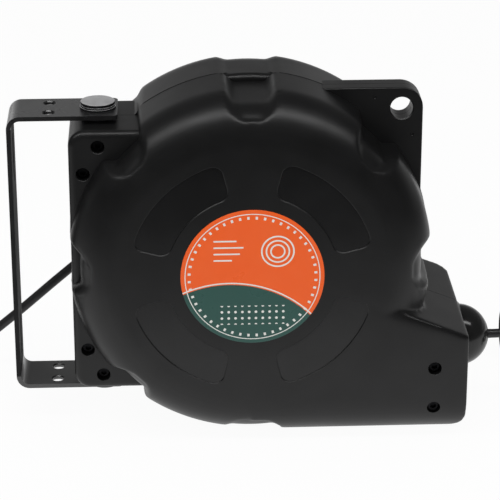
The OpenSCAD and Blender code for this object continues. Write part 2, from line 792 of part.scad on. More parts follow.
module cable_run() color("#141415") lifted() translate([0, 0, outlet_z]) rod_x(cable_d / 2, run_x0, run_x1);
module cable_free() color("#141415") tube(cable_path, cable_d, 10, [0, 1, 0]);
module cable_coil() color("#141415") coil_tube(cable_coil_path, cable_coil_start, cable_coil_turns);
module cable_tail() color("#141415") tube(cable_tail_path, cable_d, 10, [0, 1, 0]);
module lead_free() color("#161617") tube(lead_path, cable_d, 10, [0, 1, 0]);
module lead_coil() color("#161617") coil_tube(lead_coil_path, lead_coil_start, lead_coil_turns);
module lead_tail() color("#161617") tube(lead_tail_path, cable_d, 10, [1, 0, 0]);

// Strap round the turns of a coil, on the side that the angle points to
module coil_tie(centre, angle, turns) translate([centre[0], centre[1], 0]) rotate(angle) {
    r0 = coil_r - layer_step * (turns + 0.25) - cable_d / 2 - 1;
    r1 = coil_r + cable_d / 2 + 1;
    z1 = coil_z + layer_step + cable_d / 2 + tie_room;
    translate([0, tie_w / 2, 0]) rotate([90, 0, 0]) linear_extrude(tie_w) difference() {
        rounded_rect(r0 - tie_t, 0, r1 + tie_t, z1 + tie_t, 2 * tie_t);
        rounded_rect(r0, tie_t, r1, z1, tie_t);
    }
}

module cable_tie() color("#2c2c2e") coil_tie(cable_coil_at, 0, cable_coil_turns);
module lead_tie() color("#2c2c2e") coil_tie(lead_coil_at, 0, lead_coil_turns);

module at_socket() translate(last(cable_tail_path)) rotate([0, -90, 0]) children();

// Half section of a moulded cord end: a tapered neck, a grip and a wider face
module end_section(r, length, grip_r, face_len) polygon([[0, 0], [neck_r, 0], [neck_r + 2, neck_len],
    [grip_r, neck_len + grip_step], [grip_r + 2, length - face_len - grip_step], [r, length - face_len],
    [r, length], [0, length]]);

module socket_body() color("#1a1a1b") at_socket() rotate_extrude() difference() {
    end_section(socket_r, socket_len, socket_grip_r, socket_face);
    translate([0, socket_len - socket_deep]) square([socket_r - socket_wall, far]);
}

module socket_insert() color("#2e2e30") at_socket() translate([0, 0, socket_len - socket_deep]) difference() {
    cylinder(r = socket_r - socket_wall - fit, h = insert_t);
    for (s = [-1, 1]) translate([0, s * pin_gap / 2, -1]) cylinder(r = pin_r + 0.1, h = far);
}

module hub_cover() color("#1c1c1e") lifted() difference() {
    rod_y(cover_r, shell_depth, shell_depth + cover_depth);
    rod_y(cover_r - wall, shell_depth - 1, shell_depth + cover_depth - wall);
    translate([0, lead_y, lead_h - axis_h]) rod_x(gland_neck_r + fit, -2 * cover_r, 0);
    cover_screw_spots() rod_y(cover_screw_d / 2 + fit, 0, far);
}

module cover_screw_spots() for (a = [90, 210, 330]) at(cover_screw_r * [cos(a), sin(a)]) children();

module hub_cover_screws() color("#77797c") lifted() cover_screw_spots() {
    rod_y(cover_screw_d / 2, inner_half, shell_depth + cover_depth);
    rod_y(cover_screw_head_r, shell_depth + cover_depth, shell_depth + cover_depth + cover_screw_head_t);
}

module lead_gland() color("#19191a") lifted() translate([0, lead_y, lead_h - axis_h]) mirror([1, 0, 0]) {
    rod_x(gland_neck_r, cover_r - gland_inside, cover_r + fit);
    rod_x(gland_collar_r, cover_r + fit, cover_r + gland_collar);
    translate([cover_r + gland_collar, 0, 0]) rotate([0, 90, 0])
        cylinder(r1 = gland_collar_r - 1, r2 = cable_d / 2 + 1.2, h = gland_reach - cover_r - gland_collar);
}

module plug_body() color("#1a1a1b") translate(last(lead_tail_path)) rotate([90, 0, 0]) rotate_extrude()
    end_section(plug_r, plug_len, plug_grip_r, plug_face);

module plug_pins() color("#d2d3d5") translate(last(lead_tail_path)) for (s = [-1, 1])
    translate([s * pin_gap / 2, -plug_len, 0]) rotate([90, 0, 0]) cylinder(r = pin_r, h = pin_len);

front_shell();
rear_shell();
casing_screws();
face_label();
bracket();
upper_pivot_bolt();
lower_pivot_bolt();
pivot_spacers();
pivot_sleeves();
shaft();
shaft_clips();
front_flange();
rear_flange();
barrel();
flange_bushes();
inner_layers();
wound_cable();
power_spring();
spring_arbor();
ratchet_wheel();
pawl();
pawl_pin();
slip_ring_carrier();
contact_rings();
brush_holder();
contact_brushes();
outlet_guide();
upper_roller();
lower_roller();
roller_pins();
ball_stop_front();
ball_stop_rear();
ball_screws();
cable_run();
cable_free();
cable_coil();
cable_tail();
cable_tie();
socket_body();
socket_insert();
hub_cover();
hub_cover_screws();
lead_gland();
lead_free();
lead_coil();
lead_tail();
lead_tie();
plug_body();
plug_pins();
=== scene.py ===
"""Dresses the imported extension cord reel: casing, bracket, label, stop ball, cords and a plain stage."""
import json
import math

import bmesh
import bpy
from bpy.props import FloatProperty, FloatVectorProperty, IntProperty, PointerProperty
from bpy.types import Operator, Panel, PropertyGroup
from mathutils import Matrix, Vector


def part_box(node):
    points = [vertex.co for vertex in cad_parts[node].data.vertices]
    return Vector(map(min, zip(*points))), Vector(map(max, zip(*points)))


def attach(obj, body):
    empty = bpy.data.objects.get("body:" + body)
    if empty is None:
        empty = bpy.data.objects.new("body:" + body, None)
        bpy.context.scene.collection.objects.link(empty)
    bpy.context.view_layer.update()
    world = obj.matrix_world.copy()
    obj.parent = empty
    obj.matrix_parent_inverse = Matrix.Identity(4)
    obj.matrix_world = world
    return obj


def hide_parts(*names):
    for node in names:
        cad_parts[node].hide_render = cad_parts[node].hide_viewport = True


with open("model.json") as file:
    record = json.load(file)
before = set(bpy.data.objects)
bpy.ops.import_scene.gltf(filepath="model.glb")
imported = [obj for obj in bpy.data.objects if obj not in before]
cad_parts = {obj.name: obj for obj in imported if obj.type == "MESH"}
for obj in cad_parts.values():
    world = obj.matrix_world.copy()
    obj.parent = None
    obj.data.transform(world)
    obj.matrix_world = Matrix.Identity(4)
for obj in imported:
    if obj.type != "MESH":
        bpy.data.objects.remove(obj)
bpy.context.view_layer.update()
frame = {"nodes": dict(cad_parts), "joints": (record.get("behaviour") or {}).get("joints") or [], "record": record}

bl_info = {
    "name": "Extension cord reel",
    "version": (1, 0, 0),
    "blender": (4, 5, 0),
    "location": "3D View > Sidebar > Reel",
    "description": "Builds the looks of a spring-rewind extension cord reel around its packed solids",
    "category": "Object",
}

MM = 0.001
# Reach of cuts that go right through, tolerance when edges are picked, clearance between pieces that fit
FAR = 0.5
TINY = 1e-6
FIT = 0.05 * MM
# Places and sizes that the frame gives
JOINTS = {joint["name"]: joint for joint in frame["joints"]}
AXIS = Vector(JOINTS["drum_spin"]["pos_m"])
PIVOT = Vector(JOINTS["bracket_swivel"]["pos_m"])
DRUM_R = AXIS.z
FACE_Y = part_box("front_shell")[0].y
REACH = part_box("front_shell")[1].x
BLOCK_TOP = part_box("pivot_sleeves")[1].z - AXIS.z
CABLE_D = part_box("cable_run")[1].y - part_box("cable_run")[0].y
OUTLET_Z = (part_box("cable_run")[0].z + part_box("cable_run")[1].z) / 2
# Angles round the drum axis, in degrees from the outlet side
GROOVE_ANGLES = (0, 45, 90, 135, 180, 225, 270)
FOOT_ANGLE = 270
LIP_ANGLES = (0, 90)
PANEL_ANGLES = (45, 135, 225, 315)
# Details of the casing
TERRACES = 6
FOOT_EDGE = 4 * MM
CUP_R = 0.0318
CUP_DEEP = 12 * MM
EAR_DENTS = ((0.111, 0.140), (0.145, 0.105))
DENT_R = 1.6 * MM
POST_R = 9 * MM
# Places and ends of the casing screws
BLOCK_SCREW_INSET = 14 * MM
BLOCK_SCREW_OUT = 13.5 * MM
BLOCK_SCREW_STEP = 25 * MM
BLOCK_SCREW_SHORT = 10 * MM
HOUSING_SCREW_INSET = 30 * MM
HOUSING_SCREW_DROP = 35 * MM
HOUSING_SCREW_SHORT = 24 * MM
GUIDE_SCREW_RISE = 4 * MM
GUIDE_SCREW_REACH = 44 * MM


def metres(name, about, value):
    """Property that holds a length."""
    return FloatProperty(name=name, description=about, default=value, unit="LENGTH")


def degrees(name, about, value):
    """Property that holds an angle, given in degrees."""
    return FloatProperty(name=name, description=about, default=math.radians(value), subtype="ANGLE")


def tint(name, about, value):
    """Property that holds a colour."""
    return FloatVectorProperty(name=name, description=about, default=value, subtype="COLOR")


class ReelCasing(PropertyGroup):
    """Sizes of the moulded casing."""
    shoulder: metres("Shoulder", "Rounding from the band to the flat faces", 0.04)
    wall: metres("Wall", "Thickness of the shell walls", 0.003)
    seam: metres("Seam", "Gap that shows between the two shells", 0.0005)
    groove_w: metres("Groove width", "Width of the grip grooves across the band", 0.044)
    groove_in: metres("Groove depth", "Depth of the grooves behind the seam", 0.004)
    pocket_in: metres("Pocket depth", "Depth of the pockets in front of the seam", 0.01)
    groove_margin: metres("Groove margin", "Distance of a groove's end from the face", 0.006)
    lip: metres("Lip rounding", "Rounding of the rear shell's rim in the grooves", 0.006)
    foot_groove: metres("Foot groove", "Depth of the groove across the foot", 0.003)
    pocket_w: metres("Pocket width", "Width of the grip pockets of the front shell", 0.036)
    draft: metres("Draft", "How much the front shell narrows towards its face", 0.0028)
    groove_corner: metres("Groove corner", "Rounding of a groove's ends", 0.016)
    groove_flank: metres("Groove flank", "Half of the run of a groove's sides", 0.0045)
    pocket_flank: metres("Pocket flank", "Half of the run of a pocket's sides", 0.0045)
    panel_in: metres("Panel inner radius", "Inner radius of the sunk panels", 0.075)
    panel_out: metres("Panel outer radius", "Outer radius of the sunk panels", 0.109)
    panel_span: degrees("Panel span", "Angle of a sunk panel", 61)
    panel_deep: metres("Panel depth", "Depth of the sunk panels", 0.001)
    panel_corner: metres("Panel corner", "Rounding of the panel corners", 0.01)
    block_margin: metres("Block margin", "Width of the block outside the pivot", 0.026)
    block_inward: metres("Block inward", "Reach of the block from the pivot into the drum", 0.08)
    block_half_y: metres("Block half depth", "Half of the depth of the block", 0.045)
    block_corner: metres("Block corner", "Rounding of the block's outline", 0.014)
    block_edge: metres("Block edge", "Rounding from the block's sides to its faces", 0.006)
    ear_x: metres("Ear reach", "Reach of the ear sideways", 0.154)
    ear_z: metres("Ear rise", "Reach of the ear upwards", 0.149)
    ear_t: metres("Ear thickness", "Thickness of the ear", 0.025)
    ear_corner: metres("Ear corner", "Radius of the ear's corner", 0.019)
    ear_hole: metres("Ear hole", "Radius of the hanging hole", 0.01)
    ear_edge: metres("Ear edge", "Rounding of the ear's edges", 0.0015)
    roof_drop: metres("Roof drop", "Drop of the housing roof below the axis at the outlet", 0.062)
    roof_slope: degrees("Roof slope", "Slope of the housing roof", 22)
    ridge: metres("Ridge", "Rounding from the roof to the housing's faces", 0.011)
    end_edge: metres("End edge", "Rounding of the housing's outlet end", 0.0022)
    end_corner: metres("End corner", "Rounding of the housing's rear corner", 0.012)
    housing_corner: metres("Housing corner", "Rounding of the lower outlet corner", 0.022)
    foot_reach: metres("Foot reach", "Reach of the flat foot from the axis", 0.036)
    well_r: metres("Well radius", "Radius of the screw wells", 0.006)
    well_deep: metres("Well depth", "Depth of the screw wells", 0.01)
    screw_d: metres("Screw", "Diameter of the casing screws", 0.005)
    voxel: metres("Voxel", "Grain of the mesh that joins the casing's forms", 0.0018)
    softness: IntProperty(name="Softness", description="Smoothing passes that round the edges", default=8)


class ReelFittings(PropertyGroup):
    """Sizes of the bracket, bolts and small pieces."""
    bar_t: metres("Bar", "Thickness of the bracket's steel bar", 0.004)
    bend_r: metres("Bend", "Inner radius of the bracket's bends", 0.008)
    arm_corner: metres("Arm corner", "Rounding of the bracket's free corners", 0.005)
    arm_hole_x: metres("Arm hole place", "Distance from the pivot to the arm holes", 0.043)
    arm_hole_y: metres("Arm hole side", "Distance of an arm hole from the middle", 0.013)
    arm_hole_r: metres("Arm hole", "Radius of the arm holes", 0.005)
    slot_z: metres("Slot place", "Height of a wall slot from the middle", 0.085)
    slot_len: metres("Slot length", "Length of a wall slot", 0.045)
    slot_w: metres("Slot width", "Width of a wall slot", 0.009)
    bolt_r: metres("Bolt head", "Radius of the pivot bolt heads", 0.016)
    shoulder_r: metres("Bolt shoulder", "Radius of the bolt's shoulder", 0.008)
    thread_r: metres("Bolt thread", "Radius of the bolt's thread", 0.005)
    spacer_t: metres("Spacer", "Thickness of the spacer under the bracket", 0.0038)


class ReelColours(PropertyGroup):
    """Colours of the reel and its stage."""
    casing: tint("Casing", "Colour of the moulded casing", (0.0058, 0.0058, 0.0060))
    orange: tint("Label orange", "Warm field of the label", (0.84, 0.105, 0.008))
    green: tint("Label green", "Cool field of the label", (0.022, 0.080, 0.066))
    floor: tint("Floor", "Colour of the floor", (0.86, 0.86, 0.86))


# Mesh helpers

def finished(name, bm):
    """Makes an object of a bmesh, with smooth shading between its sharp edges."""
    mesh = bpy.data.meshes.new(name)
    bm.to_mesh(mesh)
    bm.free()
    obj = bpy.data.objects.new(name, mesh)
    bpy.context.scene.collection.objects.link(obj)
    shade(obj)
    return obj


def shade(obj, angle=35.0):
    """Smooths the shading of a mesh and marks the edges that are sharper than an angle."""
    obj.data.shade_smooth()
    obj.data.set_sharp_from_angle(angle=math.radians(angle))


def even(obj, angle):
    """Shades a mesh so that its flat faces stay flat beside their rounded edges."""
    shade(obj, angle)
    weigh = obj.modifiers.new("weigh", "WEIGHTED_NORMAL")
    weigh.keep_sharp = True
    apply_modifiers(obj)


def apply_modifiers(obj):
    """Bakes the modifiers of an object into its mesh."""
    graph = bpy.context.evaluated_depsgraph_get()
    mesh = bpy.data.meshes.new_from_object(obj.evaluated_get(graph))
    old = obj.data
    obj.modifiers.clear()
    obj.data = mesh
    mesh.name = obj.name
    bpy.data.meshes.remove(old)


def boolean(obj, bm, operation="DIFFERENCE"):
    """Cuts, joins or meets an object with the solid of a bmesh."""
    tool = finished("tool", bm)
    change = obj.modifiers.new("change", "BOOLEAN")
    change.operation = operation
    change.solver = "MANIFOLD"
    change.object = tool
    apply_modifiers(obj)
    mesh = tool.data
    bpy.data.objects.remove(tool)
    bpy.data.meshes.remove(mesh)
    if not obj.data.polygons:
        raise RuntimeError("nothing is left of " + obj.name)


def gather(*parts):
    """Puts several bmeshes into one."""
    whole = bmesh.new()
    for part in parts:
        mesh = bpy.data.meshes.new("gathered")
        part.to_mesh(mesh)
        part.free()
        whole.from_mesh(mesh)
        bpy.data.meshes.remove(mesh)
    return whole


def from_object(obj):
    """Turns an object back into a bmesh and removes it."""
    bm = bmesh.new()
    bm.from_mesh(obj.data)
    mesh = obj.data
    bpy.data.objects.remove(obj)
    bpy.data.meshes.remove(mesh)
    return bm


def merged_copy(name, node):
    """Closed copy of a solid of the frame."""
    bm = bmesh.new()
    bm.from_mesh(frame["nodes"][node].data)
    bmesh.ops.remove_doubles(bm, verts=bm.verts, dist=TINY)
    return finished(name, bm)


def bar(low, high):
    """Box between two corners."""
    low, high = Vector(low), Vector(high)
    bm = bmesh.new()
    bmesh.ops.create_cube(bm, size=1.0)
    bmesh.ops.scale(bm, vec=high - low, verts=bm.verts)
    bmesh.ops.translate(bm, vec=(low + high) / 2, verts=bm.verts)
    return bm


def half_space(low, high):
    """Large box between two depths."""
    return bar((-FAR, low, -FAR), (FAR, high, FAR))


def bevel(bm, geom, offset, segments=6, affect="EDGES"):
    """Rounds edges or corners."""
    bmesh.ops.bevel(bm, geom=geom, offset=offset, offset_type="OFFSET", affect=affect, segments=segments,
                    profile=0.5, material=-1)


def edges_along(bm, axis, keep=None):
    """Edges along an axis, of which keep may choose some by their middle."""
    found = []
    for edge in bm.edges:
        run = edge.verts[1].co - edge.verts[0].co
        middle = (edge.verts[0].co + edge.verts[1].co) / 2
        if abs(run.normalized()[axis]) > 0.999 and (keep is None or keep(middle)):
            found.append(edge)
    return found


def turned(profile, centre, axis, closed=False, steps=64, segments=6):
    """Solid of revolution from points of distance along the axis, radius and, if any, rounding."""
    axis = Vector(axis).normalized()
    side = axis.orthogonal().normalized()
    centre = Vector(centre)
    bm = bmesh.new()
    verts = [bm.verts.new(centre + axis * point[0] + side * point[1]) for point in profile]
    for pair in zip(verts, verts[1:]):
        bm.edges.new(pair)
    if closed:
        bm.edges.new((verts[-1], verts[0]))
    for vert, point in zip(verts, profile):
        if len(point) > 2:
            bevel(bm, [vert], point[2], segments, "VERTICES")
    bmesh.ops.spin(bm, geom=bm.verts[:] + bm.edges[:], cent=centre, axis=axis, angle=math.tau, steps=steps,
                   use_merge=True)
    bmesh.ops.remove_doubles(bm, verts=bm.verts, dist=TINY)
    bmesh.ops.recalc_face_normals(bm, faces=bm.faces)
    return bm


def rod(start, end, radius, steps=48):
    """Round rod between two points."""
    start, end = Vector(start), Vector(end)
    length = (end - start).length
    return turned([(0, 0), (0, radius), (length, radius), (length, 0)], start, end - start, steps=steps)


def pulled(bm, made, run):
    """Moves the new side of an extrusion along a run and turns the faces outwards."""
    fresh = [item for item in made["geom"] if isinstance(item, bmesh.types.BMVert)]
    bmesh.ops.translate(bm, vec=run, verts=fresh)
    bmesh.ops.recalc_face_normals(bm, faces=bm.faces)
    return bm


def extruded(bm, run):
    """Solid that a flat face makes when it is pulled along a run."""
    return pulled(bm, bmesh.ops.extrude_face_region(bm, geom=bm.faces[:], use_keep_orig=True), run)


def bent_strip(name, spots, low, high, bend, segments, thick, closed=False):
    """Strip between two depths along a line of spots in x and z, bent where the line turns."""
    bm = bmesh.new()
    verts = [bm.verts.new((x, low, z)) for x, z in spots]
    for pair in zip(verts, verts[1:]):
        bm.edges.new(pair)
    if closed:
        bm.edges.new((verts[-1], verts[0]))
    bevel(bm, verts if closed else verts[1:-1], bend, segments, "VERTICES")
    made = bmesh.ops.extrude_edge_only(bm, edges=bm.edges[:])
    strip = finished(name, pulled(bm, made, (0, high - low, 0)))
    wall = strip.modifiers.new("wall", "SOLIDIFY")
    wall.thickness = thick
    wall.offset = 0
    wall.use_even_offset = True
    apply_modifiers(strip)
    return strip


def soft_edges(obj, width, angle):
    """Bevels the edges of a mesh that are sharper than an angle."""
    edge = obj.modifiers.new("edge", "BEVEL")
    edge.width = width
    edge.segments = 2
    edge.limit_method = "ANGLE"
    edge.angle_limit = math.radians(angle)
    apply_modifiers(obj)


def rims(bm, half):
    """Edges round the two faces that lie half a depth from the middle."""
    found = []
    for edge in bm.edges:
        first, second = [vert.co.y for vert in edge.verts]
        if abs(abs(first) - half) < TINY and abs(first - second) < TINY:
            found.append(edge)
    return found


def placed(bm, spot, axis="Z", angle=0.0):
    """Turns a form about an axis through the origin and moves it to a spot."""
    bmesh.ops.rotate(bm, cent=(0, 0, 0), matrix=Matrix.Rotation(angle, 3, axis), verts=bm.verts)
    bmesh.ops.translate(bm, vec=spot, verts=bm.verts)
    return bm


def mm(*points):
    """Profile points in metres from points in millimetres."""
    return [tuple(value * MM for value in point) for point in points]


def on_axis(x, y, z):
    """Place given from the drum axis."""
    return Vector((x, y, AXIS.z + z))


# Casing

def drum_form(radius, shoulder, low, high, draft=0.0):
    """Drum with rounded shoulders between two depths, of which the one at the seam stays square."""
    profile = [(low, 0), (low, radius - draft), (high, radius), (high, 0)]
    for index, y in ((1, low), (2, high)):
        if abs(y) > shoulder:
            profile[index] = profile[index] + (shoulder,)
    return turned(profile, (0, 0, AXIS.z), (0, 1, 0), steps=192, segments=14)


def groove_blocks(sizes, low, high, width, angles):
    """Blocks across the band, one at each groove, with rounded ends at the faces."""
    blocks = []
    for angle in angles:
        block = bar((DRUM_R - sizes.shoulder, low, -width / 2), (DRUM_R + sizes.shoulder, high, width / 2))
        ends = edges_along(block, 0, lambda spot: abs(spot.y) > sizes.shoulder)
        bevel(block, ends, sizes.groove_corner)
        blocks.append(placed(block, AXIS, "Y", -math.radians(angle)))
    return gather(*blocks)


def terraces(sizes, low, high, form, deep, width, flank):
    """Half drums whose grooves step down and inwards; the remesh smooths the steps into sloping flanks."""
    parts = []
    for step in range(TERRACES):
        share = step / TERRACES
        angles = [angle for angle in GROOVE_ANGLES if angle != FOOT_ANGLE or deep * share < sizes.foot_groove]
        part = finished("terrace", form(deep * share))
        boolean(part, groove_blocks(sizes, low, high, width + 2 * flank * (1 - 2 * share), angles))
        parts.append(from_object(part))
    return parts + [form(deep)]


def housing_form(sizes, inset, start=0.0):
    """Housing of the cable outlet under its sloping roof."""
    corner = sizes.housing_corner - inset
    end = REACH - inset
    floor = inset
    slope = math.tan(sizes.roof_slope)
    roof_end = AXIS.z - sizes.roof_drop - inset / math.cos(sizes.roof_slope) + inset * slope
    low, high = FACE_Y + inset, -FACE_Y - inset
    bm = bmesh.new()
    spots = ((start, floor), (end, floor), (end, roof_end), (start, roof_end + (end - start) * slope))
    bm.faces.new([bm.verts.new((x, low, z)) for x, z in spots])
    lower = [vert for vert in bm.verts if vert.co.x > end - TINY and vert.co.z < floor + TINY]
    bevel(bm, lower, corner, 8, "VERTICES")
    extruded(bm, (0, high - low, 0))
    if not inset:
        for depth, rounding in ((low, sizes.end_edge), (high, sizes.end_corner)):
            upright = edges_along(bm, 2, lambda spot: abs(spot.y - depth) < TINY and spot.x > end - TINY)
            bevel(bm, upright, rounding)
        brow = edges_along(bm, 1, lambda spot: spot.x > end - TINY and spot.z > roof_end - TINY)
        bevel(bm, brow, sizes.end_edge)
        ridge = Vector((-math.cos(sizes.roof_slope), 0, math.sin(sizes.roof_slope)))
        sides = [edge for edge in bm.edges
                 if abs((edge.verts[1].co - edge.verts[0].co).normalized().dot(ridge)) > 0.999]
        bevel(bm, sides, sizes.ridge)
    section = bar((-FAR, low, floor), (FAR, high, AXIS.z))
    bevel(section, edges_along(section, 0, lambda spot: spot.z < floor + TINY), sizes.shoulder - inset, 12)
    housing = finished("housing", bm)
    boolean(housing, section, "INTERSECT")
    return from_object(housing)


def block_form(sizes, inset):
    """Pivot block at the bracket side."""
    half_y = sizes.block_half_y - inset
    half_z = BLOCK_TOP - inset
    low = PIVOT.x - sizes.block_margin + inset
    bm = bar(on_axis(low, -half_y, -half_z), on_axis(PIVOT.x + sizes.block_inward, half_y, half_z))
    bevel(bm, edges_along(bm, 1), sizes.block_corner - inset, 8)
    if not inset:
        bevel(bm, rims(bm, half_y), sizes.block_edge, 5)
    return bm


def ear_form(sizes):
    """Hanging ear at the upper outlet side."""
    half = sizes.ear_t / 2
    bm = bar(on_axis(0, -half, 0), on_axis(sizes.ear_x, half, sizes.ear_z))
    bevel(bm, edges_along(bm, 1, lambda spot: spot.x > half and spot.z > AXIS.z + half), sizes.ear_corner, 10)
    bevel(bm, rims(bm, half), sizes.ear_edge, 4)
    return bm


def casing_outside(sizes, front):
    """Outer form of one shell, rounded by a remesh, with its rim left long for the cut at the seam."""
    end = -FACE_Y - sizes.groove_margin
    spare = 8 * MM

    def pocketed(deep):
        return drum_form(DRUM_R - deep, sizes.shoulder - deep, FACE_Y, spare, sizes.draft)

    def grooved(deep):
        return drum_form(DRUM_R - deep, sizes.shoulder - deep, -spare, -FACE_Y - deep)

    if front:
        drum = terraces(sizes, -end, 2 * spare, pocketed, sizes.pocket_in, sizes.pocket_w, sizes.pocket_flank)
    else:
        drum = terraces(sizes, -2 * spare, end, grooved, sizes.groove_in, sizes.groove_w, sizes.groove_flank)
    band = -FACE_Y - sizes.shoulder
    foot = bar((-sizes.foot_reach, -band, 0), (0, band, DRUM_R / 2))
    bevel(foot, edges_along(foot, 1, lambda spot: spot.x < -TINY and spot.z < TINY), FOOT_EDGE, 4)
    base = []
    for form in (housing_form(sizes, 0), foot):
        part = finished("base", form)
        boolean(part, groove_blocks(sizes, -end, end, sizes.groove_w + 2 * sizes.groove_flank, (FOOT_ANGLE,)))
        base.append(from_object(part))
    shell = finished("shell_front" if front else "shell_rear", gather(*drum, *base))
    join = shell.modifiers.new("join", "REMESH")
    join.mode = "VOXEL"
    join.voxel_size = sizes.voxel
    soften = shell.modifiers.new("soften", "SMOOTH")
    soften.factor = 0.5
    soften.iterations = sizes.softness
    apply_modifiers(shell)
    for form in (block_form(sizes, 0), ear_form(sizes)):
        boolean(shell, form, "UNION")
    return shell


def block_screw_spots():
    """Places of the four screws of the pivot block, from the drum axis."""
    cross = BLOCK_TOP - BLOCK_SCREW_INSET
    pair = ((PIVOT.x, cross), (PIVOT.x - BLOCK_SCREW_OUT, cross - BLOCK_SCREW_STEP))
    return [(x, side * z) for side in (-1, 1) for x, z in pair]


def housing_screw_spots():
    """Places of the guide's screw and the lower screw of the outlet housing, from the drum axis."""
    x = REACH - HOUSING_SCREW_INSET
    outlet = OUTLET_Z - AXIS.z
    return [(x, outlet + GUIDE_SCREW_RISE), (x, outlet - HOUSING_SCREW_DROP)]


def screw_spots(sizes):
    """Every casing screw: its place, the depth of the surface it sinks into and its end."""
    block_end = sizes.block_half_y - BLOCK_SCREW_SHORT
    block = [(x, z, -sizes.block_half_y, block_end) for x, z in block_screw_spots()]
    guide, housing = housing_screw_spots()
    return block + [guide + (FACE_Y, FACE_Y + GUIDE_SCREW_REACH),
                    housing + (FACE_Y, -FACE_Y - HOUSING_SCREW_SHORT)]


def hollow(sizes):
    """Solids that empty the casing, with the screw posts left standing."""
    half = -FACE_Y - sizes.wall

    def post(x, z):
        return rod(on_axis(x, -half, z), on_axis(x, half, z), POST_R)

    drum = drum_form(DRUM_R - sizes.pocket_in - sizes.wall, sizes.shoulder - sizes.wall, -half, half)
    block = finished("hollow_block", block_form(sizes, sizes.wall + MM))
    boolean(block, gather(*[post(x, z) for x, z in block_screw_spots()]))
    housing = finished("hollow_housing", housing_form(sizes, 2 * sizes.wall, sizes.foot_reach))
    boolean(housing, post(*housing_screw_spots()[1]))
    return drum, from_object(block), from_object(housing)


def panel_cut(sizes, angle):
    """Cut of one sunk panel, a rounded strip bent round the drum axis, with a small slope round its edge."""
    inside, outside = sizes.panel_in, sizes.panel_out
    reach = (inside + outside) / 2
    half = sizes.panel_span * reach / 2
    slope = sizes.panel_deep * 0.7
    bm = bmesh.new()
    spots = ((-half, inside), (half, inside), (half, outside), (-half, outside))
    bm.faces.new([bm.verts.new((x, 0, z)) for x, z in spots])
    bevel(bm, bm.verts[:], sizes.panel_corner, 8, "VERTICES")
    bmesh.ops.subdivide_edges(bm, edges=[edge for edge in bm.edges if edge.calc_length() > half], cuts=31)
    for vert in bm.verts:
        turn = math.radians(angle) - vert.co.x / reach
        vert.co = on_axis(vert.co.z * math.cos(turn), FACE_Y, vert.co.z * math.sin(turn))
    extruded(bm, (0, -2 * MM, 0))
    inner = [face for face in bm.faces if face.normal.y > 0.9]
    bmesh.ops.inset_region(bm, faces=inner, thickness=slope, depth=slope, use_even_offset=True)
    inner = [face for face in bm.faces if face.normal.y > 0.99]
    bmesh.ops.inset_region(bm, faces=inner, thickness=FIT, depth=sizes.panel_deep - slope)
    return bm


def lip_cut(sizes, angle):
    """Cut that rounds the rear shell's rim where a groove crosses the seam, and fades out at the flanks."""
    top = DRUM_R - sizes.groove_in
    half = sizes.groove_w / 2
    over = 4 * MM
    run_out = sizes.lip + 6 * MM
    rise = 0.8 * MM
    turns = [math.radians(turn) for turn in range(0, 91, 15)]
    spots = [(sizes.lip * (1 - math.cos(turn)), sizes.lip * (math.sin(turn) - 1)) for turn in turns]
    spots += [(run_out, rise), (run_out, over), (-over, over), (-over, -sizes.lip)]
    bm = bmesh.new()
    bm.faces.new([bm.verts.new((-half, y, z)) for y, z in spots])
    extruded(bm, (2 * half, 0, 0))
    bmesh.ops.subdivide_edges(bm, edges=[edge for edge in bm.edges if edge.calc_length() > half], cuts=23)
    for vert in bm.verts:
        turn = math.radians(angle) - vert.co.x / top
        fade = 1 - 0.8 * (vert.co.x / half) ** 6
        reach = top + (vert.co.z if vert.co.z > 0 else vert.co.z * fade)
        depth = vert.co.y * fade if vert.co.y > 0 else vert.co.y
        vert.co = on_axis(reach * math.cos(turn), depth, reach * math.sin(turn))
    bmesh.ops.recalc_face_normals(bm, faces=bm.faces)
    return bm


def well_cut(sizes, x, z, y, end):
    """Cut of a screw well and the hole that goes on below it."""
    flare = 0.3 * MM
    above = -5 * MM
    below = end - y + 2 * MM
    wide = sizes.well_r + flare
    hole = sizes.screw_d / 2 + FIT
    profile = [(above, 0), (above, wide), (0, wide), (flare, sizes.well_r), (sizes.well_deep, sizes.well_r),
               (sizes.well_deep, hole), (below, hole), (below, 0)]
    return turned(profile, on_axis(x, y, z), (0, 1, 0), steps=48)


def ear_cuts(sizes):
    """Hanging hole and the two small dents of the ear."""
    half = sizes.ear_t / 2
    flare = 1.0 * MM
    wide = sizes.ear_hole + flare
    x, z = sizes.ear_x - sizes.ear_corner, sizes.ear_z - sizes.ear_corner
    profile = [(-2 * half, 0), (-2 * half, wide), (-half, wide), (-half + flare, sizes.ear_hole),
               (half - flare, sizes.ear_hole), (half, wide), (2 * half, wide), (2 * half, 0)]
    cuts = [turned(profile, on_axis(x, 0, z), (0, 1, 0))]
    for dent_x, dent_z in EAR_DENTS:
        dent = bmesh.new()
        bmesh.ops.create_icosphere(dent, subdivisions=3, radius=DENT_R)
        cuts.append(placed(dent, on_axis(dent_x, -half - 0.5 * MM, dent_z)))
    return gather(*cuts)


def build_casing(sizes):
    """Front and rear shell."""
    cup = (REACH - CUP_DEEP, 0, OUTLET_Z), (REACH + CUP_DEEP, 0, OUTLET_Z)
    shells = []
    for front, low, high in ((True, -FAR, -sizes.seam / 2), (False, sizes.seam / 2, FAR)):
        shell = casing_outside(sizes, front)
        boolean(shell, half_space(low, high), "INTERSECT")
        for cut in hollow(sizes):
            boolean(shell, cut)
        boolean(shell, gather(*[well_cut(sizes, *spot) for spot in screw_spots(sizes)]))
        boolean(shell, ear_cuts(sizes))
        if front:
            boolean(shell, gather(*[panel_cut(sizes, angle) for angle in PANEL_ANGLES]))
        else:
            boolean(shell, gather(*[lip_cut(sizes, angle) for angle in LIP_ANGLES]))
        boolean(shell, rod(*cup, CUP_R + FIT, steps=96))
        even(shell, angle=32)
        shells.append(shell)
    return shells


# Cords

